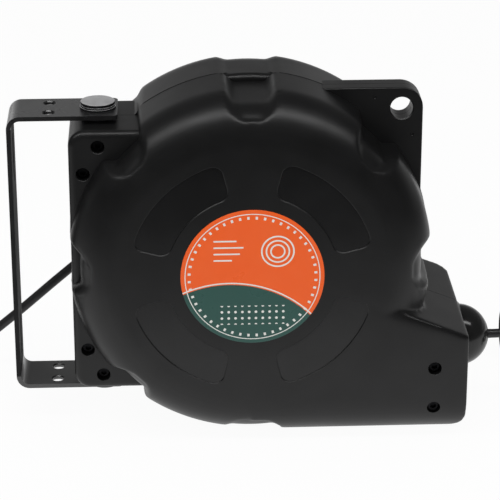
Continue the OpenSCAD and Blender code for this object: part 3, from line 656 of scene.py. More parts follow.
# Radius of a coil's outer turn, height of its lowest turn over the floor, gap between turns
COIL_R = 51 * MM
COIL_LIFT = 1.25 * MM
TURN_GAP = 0.6 * MM


def route(*points):
    """Route in metres from points in millimetres."""
    return [Vector(point) * MM for point in points]


def coil(centre, start, turns):
    """Coil of two layers that spirals in, climbs and spirals out, with a point every 15 degrees."""
    step = CABLE_D + TURN_GAP
    low = COIL_LIFT + CABLE_D / 2
    whole = (2 * turns + 0.5) * 360
    count = round(whole / 15)
    points = []
    for index in range(count + 1):
        angle = whole * index / count
        radius = COIL_R - step * min(angle, whole - angle) / 360
        lift = min(1, max(0, (angle - whole / 2 + 90) / 180))
        rise = lift * lift * (3 - 2 * lift)
        turn = math.radians(start + angle)
        points.append(centre + Vector((radius * math.cos(turn), radius * math.sin(turn), low + step * rise)))
    return points


LEAD_COIL = Vector((-338.5, 41, 0)) * MM
LEAD_COIL_TURNS = 1.875
CABLE_COIL = Vector((390, 51, 0)) * MM
CABLE_COIL_TURNS = 1.5
LEAD_ROUTE = [
    *route((-80, 92, 147), (-89, 92, 147), (-103, 92, 144), (-117, 92, 138), (-131, 92, 129.5),
           (-147, 92, 117.5), (-163, 92, 104), (-180, 92, 89.5), (-196, 92, 75.5), (-212, 92, 61.5),
           (-228, 92, 48), (-244, 92, 35), (-260, 92, 23.5), (-277, 92, 14), (-295, 92, 8),
           (-313, 92, 5.5), (-330, 92, 5.5)),
    *coil(LEAD_COIL, 90, LEAD_COIL_TURNS),
    *route((-389.5, 32.5, 14.6), (-389.5, 29, 14.6), (-389.5, 22.8, 15.1), (-389.5, 16.6, 16.2),
           (-389.5, 10.4, 17.4), (-389.5, 4.2, 18.5), (-389.5, -2, 19), (-389.5, -5, 19)),
]
CABLE_ROUTE = [
    *route((225, 0, 67), (240, 0, 67), (255, 0, 64), (268, 0, 57), (279, 0, 47), (288, 0, 36), (297, 0, 25),
           (307, 0, 15.5), (319, 0, 9), (333, 0, 5.8), (348, 0, 5.5), (365, 0, 5.5), (381.5, 0, 5.5)),
    *coil(CABLE_COIL, -90, CABLE_COIL_TURNS),
    *route((381.5, 102, 14.6), (377, 102, 14.6), (368.6, 102, 15.4), (360.2, 102, 17.4), (351.8, 102, 19.7),
           (343.4, 102, 21.7), (335, 102, 22.5), (331, 102, 22.5)),
]
WINDING_TURNS = 9
WINDING_POINTS = 24
WINDING_R = AXIS.z - OUTLET_Z


def winding_route():
    """Outer layer of the cable on the drum, turn beside turn."""
    pitch = CABLE_D + TURN_GAP
    start = -WINDING_TURNS * pitch / 2
    points = []
    for index in range(WINDING_POINTS * WINDING_TURNS + 1):
        share = index / WINDING_POINTS
        turn = math.tau * share
        points.append(on_axis(WINDING_R * math.cos(turn), start + pitch * share, WINDING_R * math.sin(turn)))
    return points


def cord_curve(name, points):
    """Round cord along one smooth curve."""
    curve = bpy.data.curves.new(name, "CURVE")
    curve.dimensions = "3D"
    curve.resolution_u = 4
    curve.bevel_depth = CABLE_D / 2
    curve.bevel_resolution = 5
    curve.use_fill_caps = True
    spline = curve.splines.new("BEZIER")
    spline.bezier_points.add(len(points) - 1)
    for knot, point in zip(spline.bezier_points, points):
        knot.co = point
        knot.handle_left_type = "AUTO"
        knot.handle_right_type = "AUTO"
    obj = bpy.data.objects.new(name, curve)
    bpy.context.scene.collection.objects.link(obj)
    return obj


def ribbed(start, end, r_start, r_end, ribs, deep):
    """Profile points of a tapered neck with grooves round it, in millimetres."""
    points = []
    for index in range(ribs):
        for part, cut in ((0.0, 0), (0.55, 0), (0.62, deep), (0.93, deep)):
            share = (index + part) / ribs
            points.append((start + (end - start) * share, r_start + (r_end - r_start) * share - cut))
    return points


# Half sections of the plug's and the socket's heads and of a pin: distance, radius, rounding
PLUG_HEAD = ((49.5, 13.9, 2), (55, 18.8, 2.5), (66, 18.8, 1.2), (66, 16.4), (65.4, 15.8), (65.4, 0))
PLUG_PIN = mm((0, 0), (0, 2.4), (17, 2.4, 0.8), (19, 1.3, 0.5), (19, 0))
PIN_OFFSET = 9.5 * MM
PLUG_LENGTH = 66 * MM
SOCKET_HEAD = ((50, 16, 2), (56, 22.2, 2.5), (71, 22.2), (71.6, 21.7), (72.6, 21.7), (73.2, 22.2),
               (78, 22.2, 0.8), (78, 19.7, 0.8), (61, 19.7), (61, 0))


def connector_profile(grip_r, head):
    """Half section of a plug or socket, from a grip radius and the points of its head in millimetres."""
    neck = ribbed(4, 27, 5.6, 7.1, 5, 1.1)
    grip = ribbed(36, 49, grip_r, grip_r + 1.2, 4, 0.7)
    return mm((0, 0), (0, 5.25, 0.8), *neck, (28, 7.25), (34, grip_r - 0.6, 2), *grip, *head)


def tie_strap(name, centre, turns):
    """Hook strap round the turns of a coil, with its free end laid over it."""
    step = CABLE_D + TURN_GAP
    clear = CABLE_D / 2 + 1.5 * MM
    inside = COIL_R - step * (turns + 0.25) - clear
    outside = COIL_R + clear
    low = 0.5 * MM
    high = COIL_LIFT + CABLE_D + step + 0.75 * MM
    half = 7 * MM
    spots = ((inside, low), (outside, low), (outside, high), (inside, high))
    strap = bent_strip(name, spots, -half, half, 2.4 * MM, 5, 0.9 * MM, closed=True)
    soft_edges(strap, 0.25 * MM, angle=30)
    flap_half = half - 0.5 * MM
    flap = bar((inside + 3.5 * MM, -flap_half, high + 0.3 * MM),
               (outside - 4.5 * MM, flap_half, high + 0.95 * MM))
    bevel(flap, edges_along(flap, 2), 2.5 * MM, 5)
    return finished(name, placed(gather(from_object(strap), flap), centre))


# Materials

def material(name, base, roughness, metallic=0.0):
    """New material with its shader and object coordinates."""
    mat = bpy.data.materials.new(name)
    mat.use_nodes = True
    nodes = mat.node_tree.nodes
    shader = nodes["Principled BSDF"]
    shader.inputs["Base Color"].default_value = (*base, 1)
    shader.inputs["Roughness"].default_value = roughness
    shader.inputs["Metallic"].default_value = metallic
    where = nodes.new("ShaderNodeTexCoord")
    where.name = "Where"
    return mat


def wire(mat, source, target):
    """Links one socket to another."""
    mat.node_tree.links.new(source, target)


def noise(mat, scale, detail, vector=None):
    """Noise on the object's own coordinates."""
    node = mat.node_tree.nodes.new("ShaderNodeTexNoise")
    node.inputs["Scale"].default_value = scale
    node.inputs["Detail"].default_value = detail
    wire(mat, vector or mat.node_tree.nodes["Where"].outputs["Object"], node.inputs["Vector"])
    return node.outputs["Fac"]


def ranged(mat, value, low, high, start, end):
    """Maps a value that runs from start to end onto low to high."""
    node = mat.node_tree.nodes.new("ShaderNodeMapRange")
    node.inputs["From Min"].default_value = start
    node.inputs["From Max"].default_value = end
    node.inputs["To Min"].default_value = low
    node.inputs["To Max"].default_value = high
    wire(mat, value, node.inputs["Value"])
    return node.outputs["Result"]


def blended(mat, factor, first, second):
    """Mixes two colours, each a socket or a plain colour."""
    node = mat.node_tree.nodes.new("ShaderNodeMix")
    node.data_type = "RGBA"
    wire(mat, factor, node.inputs["Factor"])
    for name, colour in (("A", first), ("B", second)):
        socket = [item for item in node.inputs if item.name == name and item.type == "RGBA"][0]
        if isinstance(colour, bpy.types.NodeSocket):
            wire(mat, colour, socket)
        else:
            socket.default_value = (*colour, 1)
    return [item for item in node.outputs if item.type == "RGBA"][0]


def bump(mat, height, distance, strength):
    """Bump of the shader from a height."""
    node = mat.node_tree.nodes.new("ShaderNodeBump")
    node.inputs["Strength"].default_value = strength
    node.inputs["Distance"].default_value = distance
    wire(mat, height, node.inputs["Height"])
    wire(mat, node.outputs["Normal"], mat.node_tree.nodes["Principled BSDF"].inputs["Normal"])


def math_node(mat, operation, *values):
    """Math of one to three values, each a socket or a number."""
    node = mat.node_tree.nodes.new("ShaderNodeMath")
    node.operation = operation
    for socket, value in zip(node.inputs, values):
        if isinstance(value, bpy.types.NodeSocket):
            wire(mat, value, socket)
        else:
            socket.default_value = value
    return node.outputs["Value"]


def axes_of(mat, vector):
    """X, Y and Z of a vector."""
    split = mat.node_tree.nodes.new("ShaderNodeSeparateXYZ")
    wire(mat, vector, split.inputs["Vector"])
    return [split.outputs[axis] for axis in "XYZ"]


def show_mixed(mat, factor, first, second, output):
    """Mixes two shaders by a factor and shows the mixture."""
    mix = mat.node_tree.nodes.new("ShaderNodeMixShader")
    wire(mat, factor, mix.inputs["Fac"])
    wire(mat, first, mix.inputs[1])
    wire(mat, second, mix.inputs[2])
    wire(mat, mix.outputs["Shader"], mat.node_tree.nodes[output].inputs["Surface"])


def moulded(name, base, rough, grain=2600.0, deep=0.00004, spread=0.08, mirror=0.5, coat=0.0):
    """Moulded, painted or woven finish: fine grain, uneven gloss and faint colour drift."""
    mat = material(name, base, rough)
    shader = mat.node_tree.nodes["Principled BSDF"]
    shader.inputs["Specular IOR Level"].default_value = mirror
    shader.inputs["Coat Weight"].default_value = coat
    shader.inputs["Coat Roughness"].default_value = rough
    drift = noise(mat, 14.0, 4.0)
    wire(mat, ranged(mat, drift, rough - spread, rough + spread, 0.3, 0.7), shader.inputs["Roughness"])
    pale = tuple(channel * 1.35 + 0.0005 for channel in base)
    wire(mat, blended(mat, ranged(mat, noise(mat, 40.0, 5.0), 0, 1, 0.35, 0.75), base, pale),
         shader.inputs["Base Color"])
    bump(mat, noise(mat, grain, 2.0), deep, 0.5)
    return mat


def metal(name, base, rough, across=(60.0, 60.0, 900.0), metallic=1.0):
    """Drawn or brushed metal with fine lines and uneven polish."""
    mat = material(name, base, rough, metallic)
    nodes = mat.node_tree.nodes
    shader = nodes["Principled BSDF"]
    turn = nodes.new("ShaderNodeMapping")
    turn.inputs["Scale"].default_value = across
    wire(mat, nodes["Where"].outputs["Object"], turn.inputs["Vector"])
    lines = noise(mat, 1.0, 4.0, turn.outputs["Vector"])
    wire(mat, ranged(mat, lines, rough - 0.08, rough + 0.12, 0.3, 0.7), shader.inputs["Roughness"])
    dull = tuple(channel * 0.75 for channel in base)
    wire(mat, blended(mat, ranged(mat, noise(mat, 90.0, 4.0), 0, 1, 0.3, 0.8), base, dull),
         shader.inputs["Base Color"])
    bump(mat, lines, 0.00003, 0.3)
    return mat


def near(mat, value, middle, half):
    """One where a value lies within half a width of the middle, and zero elsewhere."""
    return math_node(mat, "COMPARE", value, middle, half)


def both(mat, *masks):
    """One where every mask is one."""
    whole = masks[0]
    for mask in masks[1:]:
        whole = math_node(mat, "MULTIPLY", whole, mask)
    return whole


def either(mat, *masks):
    """One where any mask is one."""
    whole = masks[0]
    for mask in masks[1:]:
        whole = math_node(mat, "MAXIMUM", whole, mask)
    return whole


def distance(mat, x, z, spot):
    """Distance of the surface from a spot of the label."""
    sides = []
    for value, place in zip((x, z), spot):
        sides.append(math_node(mat, "POWER", math_node(mat, "SUBTRACT", value, place), 2.0))
    return math_node(mat, "SQRT", math_node(mat, "ADD", *sides))


# Layout of the label's plain print, from its middle
WAVE_CENTRE = (-0.020, -0.105)
WAVE_R = 0.098
TICKS = 48
RINGS_CENTRE = (0.022, 0.024)
RINGS = (0.006, 0.010, 0.014)
BARS = (0.020, 0.026, 0.023, 0.016)
BARS_LEFT = -0.034
BARS_TOP = 0.034
GRID = 0.006
LINE_HALF = 0.0007
PRINT_PALE = (0.72, 0.72, 0.68)
ORANGE_FADED = (0.86, 0.16, 0.035)


def label_film(colours):
    """Printed film: a warm field over a cool one, with plain rings, ticks, bars and dots."""
    mat = material("label_film", colours.orange, 0.30)
    nodes = mat.node_tree.nodes
    shader = nodes["Principled BSDF"]
    centre = nodes.new("ShaderNodeMapping")
    centre.inputs["Location"].default_value = -AXIS
    wire(mat, nodes["Where"].outputs["Object"], centre.inputs["Vector"])
    x, _, z = axes_of(mat, centre.outputs["Vector"])
    reach = distance(mat, x, z, (0, 0))
    turn = math_node(mat, "ARCTAN2", z, x)
    wave = distance(mat, x, z, WAVE_CENTRE)
    cool = math_node(mat, "LESS_THAN", wave, WAVE_R)
    ticks = near(mat, math_node(mat, "FRACT", math_node(mat, "MULTIPLY", turn, TICKS / math.tau)), 0.5, 0.14)
    marks = [both(mat, ticks, near(mat, reach, 0.0555, 0.0013)), near(mat, wave, WAVE_R + 0.0015, 0.0006),
             near(mat, reach, 0.0590, 0.0004)]
    ring_reach = distance(mat, x, z, RINGS_CENTRE)
    for ring in RINGS:
        marks.append(near(mat, ring_reach, ring, LINE_HALF))
    for row, length in enumerate(BARS):
        along = near(mat, x, BARS_LEFT + length / 2, length / 2)
        marks.append(both(mat, near(mat, z, BARS_TOP - GRID * row, LINE_HALF), along))
    cells = [math_node(mat, "FRACT", math_node(mat, "MULTIPLY", value, 1 / GRID)) for value in (x, z)]
    dots = math_node(mat, "LESS_THAN", distance(mat, *cells, (0.5, 0.5)), 0.2)
    marks.append(both(mat, dots, near(mat, x, 0, 0.030), near(mat, z, -0.036, 0.009)))
    fade = ranged(mat, noise(mat, 60.0, 4.0), 0, 0.16, 0.35, 0.75)
    warm = blended(mat, fade, tuple(colours.orange), ORANGE_FADED)
    field = blended(mat, cool, warm, tuple(colours.green))
    wire(mat, blended(mat, either(mat, *marks), field, PRINT_PALE), shader.inputs["Base Color"])
    wire(mat, ranged(mat, noise(mat, 35.0, 4.0), 0.24, 0.40, 0.3, 0.7), shader.inputs["Roughness"])
    bump(mat, noise(mat, 70.0, 2.0), 0.0001, 0.15)
    return mat


# Colour, roughness, scale and depth of the grain, unevenness of the gloss, mirror level and coat
MOULDED = {
    "black_steel": ((0.007, 0.007, 0.0074), 0.30, 1200.0, 0.00005, 0.1, 1.0, 1.0),
    # Painted light: the bracket leg's faces get a paler, rougher, less glossy copy of the arms' black_steel coat,
    # though leg and arms are one powder coat
    "leg_steel_painted_light": ((0.010, 0.010, 0.0104), 0.66, 1200.0, 0.00005, 0.08, 0.25),
    "ball_plastic": ((0.010, 0.010, 0.010), 0.16, 700.0, 0.00001, 0.05),
    "cable_rubber": ((0.013, 0.013, 0.014), 0.36, 1800.0, 0.00004, 0.06),
    "connector_rubber": ((0.016, 0.016, 0.017), 0.55, 2000.0, 0.00006, 0.1),
    "drum_plastic": ((0.05, 0.05, 0.055), 0.50),
    "insulator": ((0.20, 0.08, 0.03), 0.45),
    "carbon": ((0.05, 0.045, 0.04), 0.60),
    "roller_plastic": ((0.66, 0.66, 0.62), 0.35),
    "tie_fabric": ((0.03, 0.03, 0.032), 0.85, 900.0, 0.0002, 0.05),
}
# Colour, roughness, scale of the lines along each axis and metallic share
METALS = {
    "bright_steel": ((0.78, 0.78, 0.79), 0.40, (60.0, 900.0, 60.0), 0.7),
    # Painted shade: a dark copy of the bolts' plated steel, for the faces of their heads and shanks that do not
    # face up or down
    "bolt_side_painted_shade": ((0.08, 0.08, 0.083), 0.34),
    "dark_steel": ((0.025, 0.025, 0.027), 0.50),
    "spring_steel": ((0.28, 0.30, 0.33), 0.35),
    "bronze": ((0.55, 0.38, 0.16), 0.40),
    "copper": ((0.62, 0.32, 0.16), 0.25),
}
FINISHES = {}


def make_finishes(colours):
    """Every material of the reel, most of them by the record's slot."""
    casing = tuple(colours.casing)
    FINISHES["casing_plastic"] = moulded("casing_plastic", casing, 0.36, 2600.0, 0.00003, 0.05)
    FINISHES["panel_plastic"] = moulded("panel_plastic", casing, 0.22, 1500.0, 0.00001, 0.03)
    FINISHES["label_film"] = label_film(colours)
    for slot, values in MOULDED.items():
        FINISHES[slot] = moulded(slot, *values)
    for slot, values in METALS.items():
        FINISHES[slot] = metal(slot, *values)


def dress(obj, slot, body, *nodes):
    """Gives a piece its finish, its body and the solids that it stands for."""
    obj.data.materials.clear()
    obj.data.materials.append(FINISHES[slot])
    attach(obj, body)
    if nodes:
        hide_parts(*nodes)
    return obj


def second_finish(obj, finish, chosen):
    """Gives the faces of a piece that are chosen a second finish."""
    obj.data.materials.append(FINISHES[finish])
    for face in obj.data.polygons:
        face.material_index = 1 if chosen(face) else 0


# Stage

CAMERA_LENS = 160.1
CAMERA_SENSOR = 36
CAMERA_PLACE = (-0.0836, -1.8671, 0.9236)
CAMERA_AIM = (0.0421, 0.9239, -0.3804)
FLOOR_HALF = 6.0
# Name, place, width, depth and power of each light, and whether reflections show it
LIGHTS = (
    ("overhead_strip", (-0.20, -0.60, 1.75), 4.0, 0.30, 19.0, True),
    ("front_fill", (-0.5, -2.2, 1.6), 1.6, 1.2, 16.0, False),
)


def aimed(direction):
    """Rotation that turns a camera or a light to a direction."""
    return Vector(direction).to_track_quat("-Z", "Y").to_euler()


def floor_material(colours):
    """Pale floor that reads white to the camera and keeps the soft shadow."""
    mat = bpy.data.materials.new("floor_pale")
    mat.use_nodes = True
    nodes = mat.node_tree.nodes
    nodes.remove(nodes["Principled BSDF"])
    matt = nodes.new("ShaderNodeBsdfDiffuse")
    matt.inputs["Color"].default_value = (*colours.floor, 1)
    glow = nodes.new("ShaderNodeEmission")
    path = nodes.new("ShaderNodeLightPath")
    x, y, _ = axes_of(mat, nodes.new("ShaderNodeTexCoord").outputs["Object"])
    across = math_node(mat, "MULTIPLY", x, x)
    nearby = math_node(mat, "MULTIPLY", ranged(mat, y, 0.02, 0.75, -0.66, -0.26),
                       ranged(mat, across, 1.0, 0.12, 0.2, 1.4))
    shown = math_node(mat, "MAXIMUM", path.outputs["Is Camera Ray"], path.outputs["Is Transmission Ray"])
    strength = math_node(mat, "MULTIPLY", path.outputs["Is Glossy Ray"], nearby)
    wire(mat, math_node(mat, "MAXIMUM", shown, strength), glow.inputs["Strength"])
    share = math_node(mat, "MAXIMUM", math_node(mat, "MULTIPLY", shown, 0.95), path.outputs["Is Glossy Ray"])
    show_mixed(mat, share, matt.outputs["BSDF"], glow.outputs["Emission"], "Material Output")
    return mat


def studio_world():
    """Soft room that is bright above and behind and dim on the camera's side, on a white background."""
    world = bpy.data.worlds.new("studio")
    world.use_nodes = True
    nodes = world.node_tree.nodes
    room = nodes["Background"]
    room.inputs["Color"].default_value = (1, 1, 1, 1)
    x, y, z = axes_of(world, nodes.new("ShaderNodeTexCoord").outputs["Generated"])
    low_glow = ranged(world, z, 0.60, 0.0, 0.02, 0.18)
    rise = math_node(world, "ADD", low_glow, ranged(world, z, 0.20, 0.10, 0.34, 0.60))
    behind = ranged(world, y, 0.06, 1.0, 0.10, 0.85)
    aside = ranged(world, x, 1.10, 0.85, 0.05, 0.30)
    path = nodes.new("ShaderNodeLightPath")
    mirrored = math_node(world, "MULTIPLY", math_node(world, "MULTIPLY", rise, behind), aside)
    flat = math_node(world, "MULTIPLY", math_node(world, "SUBTRACT", 1.0, path.outputs["Is Glossy Ray"]), 0.5)
    shown = math_node(world, "MULTIPLY", mirrored, path.outputs["Is Glossy Ray"])
    wire(world, math_node(world, "ADD", shown, flat), room.inputs["Strength"])
    white = nodes.new("ShaderNodeBackground")
    white.inputs["Color"].default_value = (1, 1, 1, 1)
    show_mixed(world, path.outputs["Is Camera Ray"], room.outputs["Background"], white.outputs["Background"],
               "World Output")
    return world


class REEL_OT_stage(Operator):
    """Camera at the photograph's angle, pale floor and soft studio light"""
    bl_idname = "reel.stage"
    bl_label = "Stage"

    def execute(self, context):
        scene = context.scene
        scene.view_settings.view_transform = "Standard"
        camera = bpy.data.objects.new("camera", bpy.data.cameras.new("camera"))
        camera.data.lens = CAMERA_LENS
        camera.data.sensor_width = CAMERA_SENSOR
        camera.location = CAMERA_PLACE
        camera.rotation_euler = aimed(CAMERA_AIM)
        scene.collection.objects.link(camera)
        scene.camera = camera
        bm = bmesh.new()
        bmesh.ops.create_grid(bm, x_segments=4, y_segments=4, size=FLOOR_HALF)
        floor = finished("floor", bm)
        floor.data.materials.append(floor_material(scene.reel_colours))
        for name, place, width, depth, power, mirrored in LIGHTS:
            light = bpy.data.objects.new(name, bpy.data.lights.new(name, "AREA"))
            light.data.shape = "RECTANGLE"
            light.data.size = width
            light.data.size_y = depth
            light.data.energy = power
            light.location = place
            light.rotation_euler = aimed(Vector((place[0], 0, AXIS.z)) - Vector(place))
            light.visible_glossy = mirrored
            scene.collection.objects.link(light)
        scene.world = studio_world()
        return {"FINISHED"}


class REEL_OT_finishes(Operator):
    """Procedural materials, and those of the solids that stay as they are"""
    bl_idname = "reel.finishes"
    bl_label = "Finishes"

    def execute(self, context):
        make_finishes(context.scene.reel_colours)
        slots = {row["node"]: row["material_slot"] for row in frame["record"]["subparts"]}
        for name, obj in frame["nodes"].items():
            finish = FINISHES[slots[name]]
            if not obj.material_slots:
                obj.data.materials.append(finish)
            for holder in obj.material_slots:
                holder.material = finish
        return {"FINISHED"}


class REEL_OT_cords(Operator):
    """Supply lead and cable with their plug, socket and ties, and the cable wound on the drum"""
    bl_idname = "reel.cords"
    bl_label = "Cords"

    def execute(self, context):
        lead = cord_curve("supply_lead", LEAD_ROUTE)
        dress(lead, "cable_rubber", "casing", "lead_free", "lead_coil", "lead_tail")
        plug = finished("plug", turned(connector_profile(12.6, PLUG_HEAD), LEAD_ROUTE[-1], (0, -1, 0)))
        dress(plug, "connector_rubber", "casing", "plug_body")
        roots = [LEAD_ROUTE[-1] + Vector((side * PIN_OFFSET, -PLUG_LENGTH, 0)) for side in (-1, 1)]
        pins = gather(*[turned(PLUG_PIN, root, (0, -1, 0), steps=32) for root in roots])
        pins = dress(finished("plug_pin_pair", pins), "bright_steel", "casing", "plug_pins")
        lead_strap = tie_strap("lead_strap", LEAD_COIL, LEAD_COIL_TURNS)
        dress(lead_strap, "tie_fabric", "casing", "lead_tie")
        cable = cord_curve("outlet_cable", CABLE_ROUTE)
        dress(cable, "cable_rubber", "casing", "cable_free", "cable_coil", "cable_tail")
        socket = finished("socket", turned(connector_profile(14.6, SOCKET_HEAD), CABLE_ROUTE[-1], (-1, 0, 0)))
        dress(socket, "connector_rubber", "casing", "socket_body")
        cable_strap = tie_strap("cable_strap", CABLE_COIL, CABLE_COIL_TURNS)
        dress(cable_strap, "tie_fabric", "casing", "cable_tie")
        dress(cord_curve("wound_turns", winding_route()), "cable_rubber", "drum", "wound_cable")
        return {"FINISHED"}


class REEL_OT_casing(Operator):
    """Front and rear shell of the casing"""
    bl_idname = "reel.casing"
    bl_label = "Casing"

    def execute(self, context):
        sizes = context.scene.reel_casing
        front, rear = build_casing(sizes)
        dress(front, "casing_plastic", "casing", "front_shell")
        dress(rear, "casing_plastic", "casing", "rear_shell")

        def sunk(face):
            at = face.center - AXIS
            level = abs(face.center.y - FACE_Y - sizes.panel_deep) < 0.1 * MM
            return level and math.hypot(at.x, at.z) < sizes.panel_out and abs(face.normal.y) > 0.9

        second_finish(front, "panel_plastic", sunk)
        return {"FINISHED"}


class REEL_OT_screws(Operator):
    """Casing screws with hexagon sockets in their wells"""
    bl_idname = "reel.screws"
    bl_label = "Casing screws"

    def execute(self, context):
        sizes = context.scene.reel_casing
        head = sizes.screw_d
        key = head * 0.575
        screws = []
        sockets = []
        for x, z, y, end in screw_spots(sizes):
            top = y + sizes.well_deep - head
            length = end - top
            profile = [(0, 0), (0, head, 0.5 * MM), (head, head), (head, head / 2),
                       (length, head / 2, 0.8 * MM), (length, 0)]
            screws.append(turned(profile, on_axis(x, top, z), (0, 1, 0), steps=48, segments=3))
            socket = bmesh.new()
            bmesh.ops.create_cone(socket, cap_ends=True, segments=6, radius1=key, radius2=key,
                                  depth=head * 1.2)
            sockets.append(placed(socket, on_axis(x, top, z), "X", math.pi / 2))
        piece = finished("casing_hex_screws", gather(*screws))
        boolean(piece, gather(*sockets))
        shade(piece)
        dress(piece, "dark_steel", "casing", "casing_screws")
        return {"FINISHED"}


class REEL_OT_label(Operator):
    """Round printed label on the front face"""
    bl_idname = "reel.label"
    bl_label = "Label"

    def execute(self, context):
        low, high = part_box("face_label")
        thick = high.y - low.y
        radius = (high.x - low.x) / 2
        profile = [(0, 0), (0, radius - 4 * thick), (0, radius, 0.45 * thick), (thick, radius), (thick, 0)]
        disc = finished("round_label", turned(profile, (0, low.y, AXIS.z), (0, 1, 0), steps=128, segments=3))
        dress(disc, "label_film", "casing", "face_label")
        return {"FINISHED"}


def bracket_bar(fit, low, high):
    """Flat bar bent to a U, with the corners of its arms rounded."""
    half = fit.bar_t / 2
    spots = ((high.x, high.z - half), (low.x + half, high.z - half),
             (low.x + half, low.z + half), (high.x, low.z + half))
    bm = from_object(bent_strip("wall_bracket", spots, low.y, high.y, fit.bend_r + half, 10, fit.bar_t))
    bevel(bm, edges_along(bm, 2, lambda spot: spot.x > high.x - 10 * TINY), fit.arm_corner)
    return finished("wall_bracket", bm)


def bracket_cuts(fit, low, high):
    """Pivot hole, chamfered arm holes and wall slots of the bracket."""
    chamfer = 1.0 * MM
    wide = fit.arm_hole_r + chamfer
    hole = [(low.z - MM, 0), (low.z - MM, wide)]
    for start in (low.z, high.z - fit.bar_t):
        end = start + fit.bar_t
        hole += [(start, wide), (start + chamfer, fit.arm_hole_r),
                 (end - chamfer, fit.arm_hole_r), (end, wide)]
    hole += [(high.z + MM, wide), (high.z + MM, 0)]
    cuts = [rod((PIVOT.x, 0, -FAR), (PIVOT.x, 0, FAR), fit.shoulder_r + FIT)]
    for side in (-1, 1):
        cuts.append(turned(hole, (PIVOT.x - fit.arm_hole_x, side * fit.arm_hole_y, 0), (0, 0, 1), steps=48))
        z = AXIS.z + side * fit.slot_z
        slot = bar((low.x - 10 * MM, -fit.slot_w / 2, z - fit.slot_len / 2),
                   (low.x + 20 * MM, fit.slot_w / 2, z + fit.slot_len / 2))
        bevel(slot, edges_along(slot, 0), fit.slot_w * 0.49, 8)
        cuts.append(slot)
    return gather(*cuts)


# Steps of a bolt's head: rise above its seat, inset from its radius, rounding
BOLT_HEAD = mm((0, 0, 0.25), (1.6, 0, 0.25), (1.6, 1.2), (1.9, 1.2), (1.9, 0.4, 0.25), (3.2, 0.4, 0.25),
               (3.2, 1.4), (3.5, 1.4), (3.5, 0.7, 0.3))


def bolt_form(fit, node, side, seat):
    """Shoulder bolt from its thread to its stepped head, which sits on the bracket's arm."""
    ends = [abs(corner.z - AXIS.z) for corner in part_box(node)]
    tip, top = min(ends), max(ends)
    profile = [(tip, 0), (tip, fit.thread_r, 0.8 * MM), (BLOCK_TOP, fit.thread_r),
               (BLOCK_TOP, fit.shoulder_r), (seat, fit.shoulder_r)]
    profile += [(seat + rise, fit.bolt_r - inset, *rounding) for rise, inset, *rounding in BOLT_HEAD]
    profile += [(top, fit.bolt_r - 0.7 * MM, 0.9 * MM), (top, 0)]
    return turned(profile, PIVOT, (0, 0, side), steps=72, segments=4)


def spacer_form(fit, side):
    """Ring between the block and the bracket's arm."""
    inner = fit.shoulder_r + FIT
    end = BLOCK_TOP + fit.spacer_t
    edge = 0.4 * MM
    profile = [(BLOCK_TOP, inner), (BLOCK_TOP, fit.bolt_r, edge), (end, fit.bolt_r, edge), (end, inner)]
    return turned(profile, PIVOT, (0, 0, side), closed=True, steps=72, segments=3)


class REEL_OT_bracket(Operator):
    """Steel wall bracket with its pivot bolts and spacers"""
    bl_idname = "reel.bracket"
    bl_label = "Bracket"

    def execute(self, context):
        fit = context.scene.reel_fittings
        low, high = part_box("bracket")
        piece = bracket_bar(fit, low, high)
        boolean(piece, bracket_cuts(fit, low, high))
        soft_edges(piece, 0.5 * MM, angle=40)
        even(piece, angle=60)
        dress(piece, "black_steel", "bracket", "bracket")
        # Painted light: the leg's faces take a paler, duller copy of the arms' coat, so the leg and the arms read
        # as lit differently
        leg = BLOCK_TOP - 6 * MM
        second_finish(piece, "leg_steel_painted_light", lambda face: abs(face.center.z - AXIS.z) < leg)
        seat = high.z - AXIS.z + 0.1 * MM
        rings = []
        for side, node in ((1, "upper_pivot_bolt"), (-1, "lower_pivot_bolt")):
            bolt = finished(node + "_turned", bolt_form(fit, node, side, seat))
            dress(bolt, "bright_steel", "casing", node)
            # Painted shade: faces that do not face along the bolt take a darker copy of its steel
            second_finish(bolt, "bolt_side_painted_shade", lambda face: abs(face.normal.z) <= 0.6)
            rings.append(spacer_form(fit, side))
        dress(finished("pivot_spacer_rings", gather(*rings)), "drum_plastic", "casing", "pivot_spacers")
        return {"FINISHED"}


class REEL_OT_ball(Operator):
    """Stop ball in two halves, and the cup of the outlet guide behind it"""
    bl_idname = "reel.ball"
    bl_label = "Stop ball"

    def execute(self, context):
        low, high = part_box("ball_stop_front")
        radius = (high.z - low.z) / 2
        centre = Vector(((low.x + high.x) / 2, 0, OUTLET_Z))
        bore = centre - Vector((FAR, 0, 0)), centre + Vector((FAR, 0, 0))
        gap = 0.1 * MM
        for name, node, ends in (("ball_half_front", "ball_stop_front", (-FAR, -gap)),
                                 ("ball_half_rear", "ball_stop_rear", (gap, FAR))):
            bm = bmesh.new()
            bmesh.ops.create_uvsphere(bm, u_segments=96, v_segments=48, radius=radius)
            half = finished(name, placed(bm, centre, "Y", math.pi / 2))
            boolean(half, rod(*bore, CABLE_D / 2 + FIT))
            boolean(half, half_space(*ends), "INTERSECT")
            shade(half)
            dress(half, "ball_plastic", "casing", node)
        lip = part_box("outlet_guide")[1].x
        end = lip + 3 * MM
        wide = CUP_R + 20 * MM
        narrow = CUP_R - 2.1 * MM
        profile = [(REACH, wide), (REACH, CUP_R - 0.2 * MM), (lip, narrow), (end, narrow), (end, wide)]
        rim = turned(profile, (0, 0, OUTLET_Z), (1, 0, 0), closed=True, steps=96)
        cup = merged_copy("outlet_guide_cup", "outlet_guide")
        boolean(cup, rim)
        even(cup, angle=30)
        dress(cup, "casing_plastic", "casing", "outlet_guide")
        return {"FINISHED"}


# Radius of the gland's root in millimetres, and where the root ends inside the cover
GLAND_R = 7
GLAND_ROOT = -36 * MM


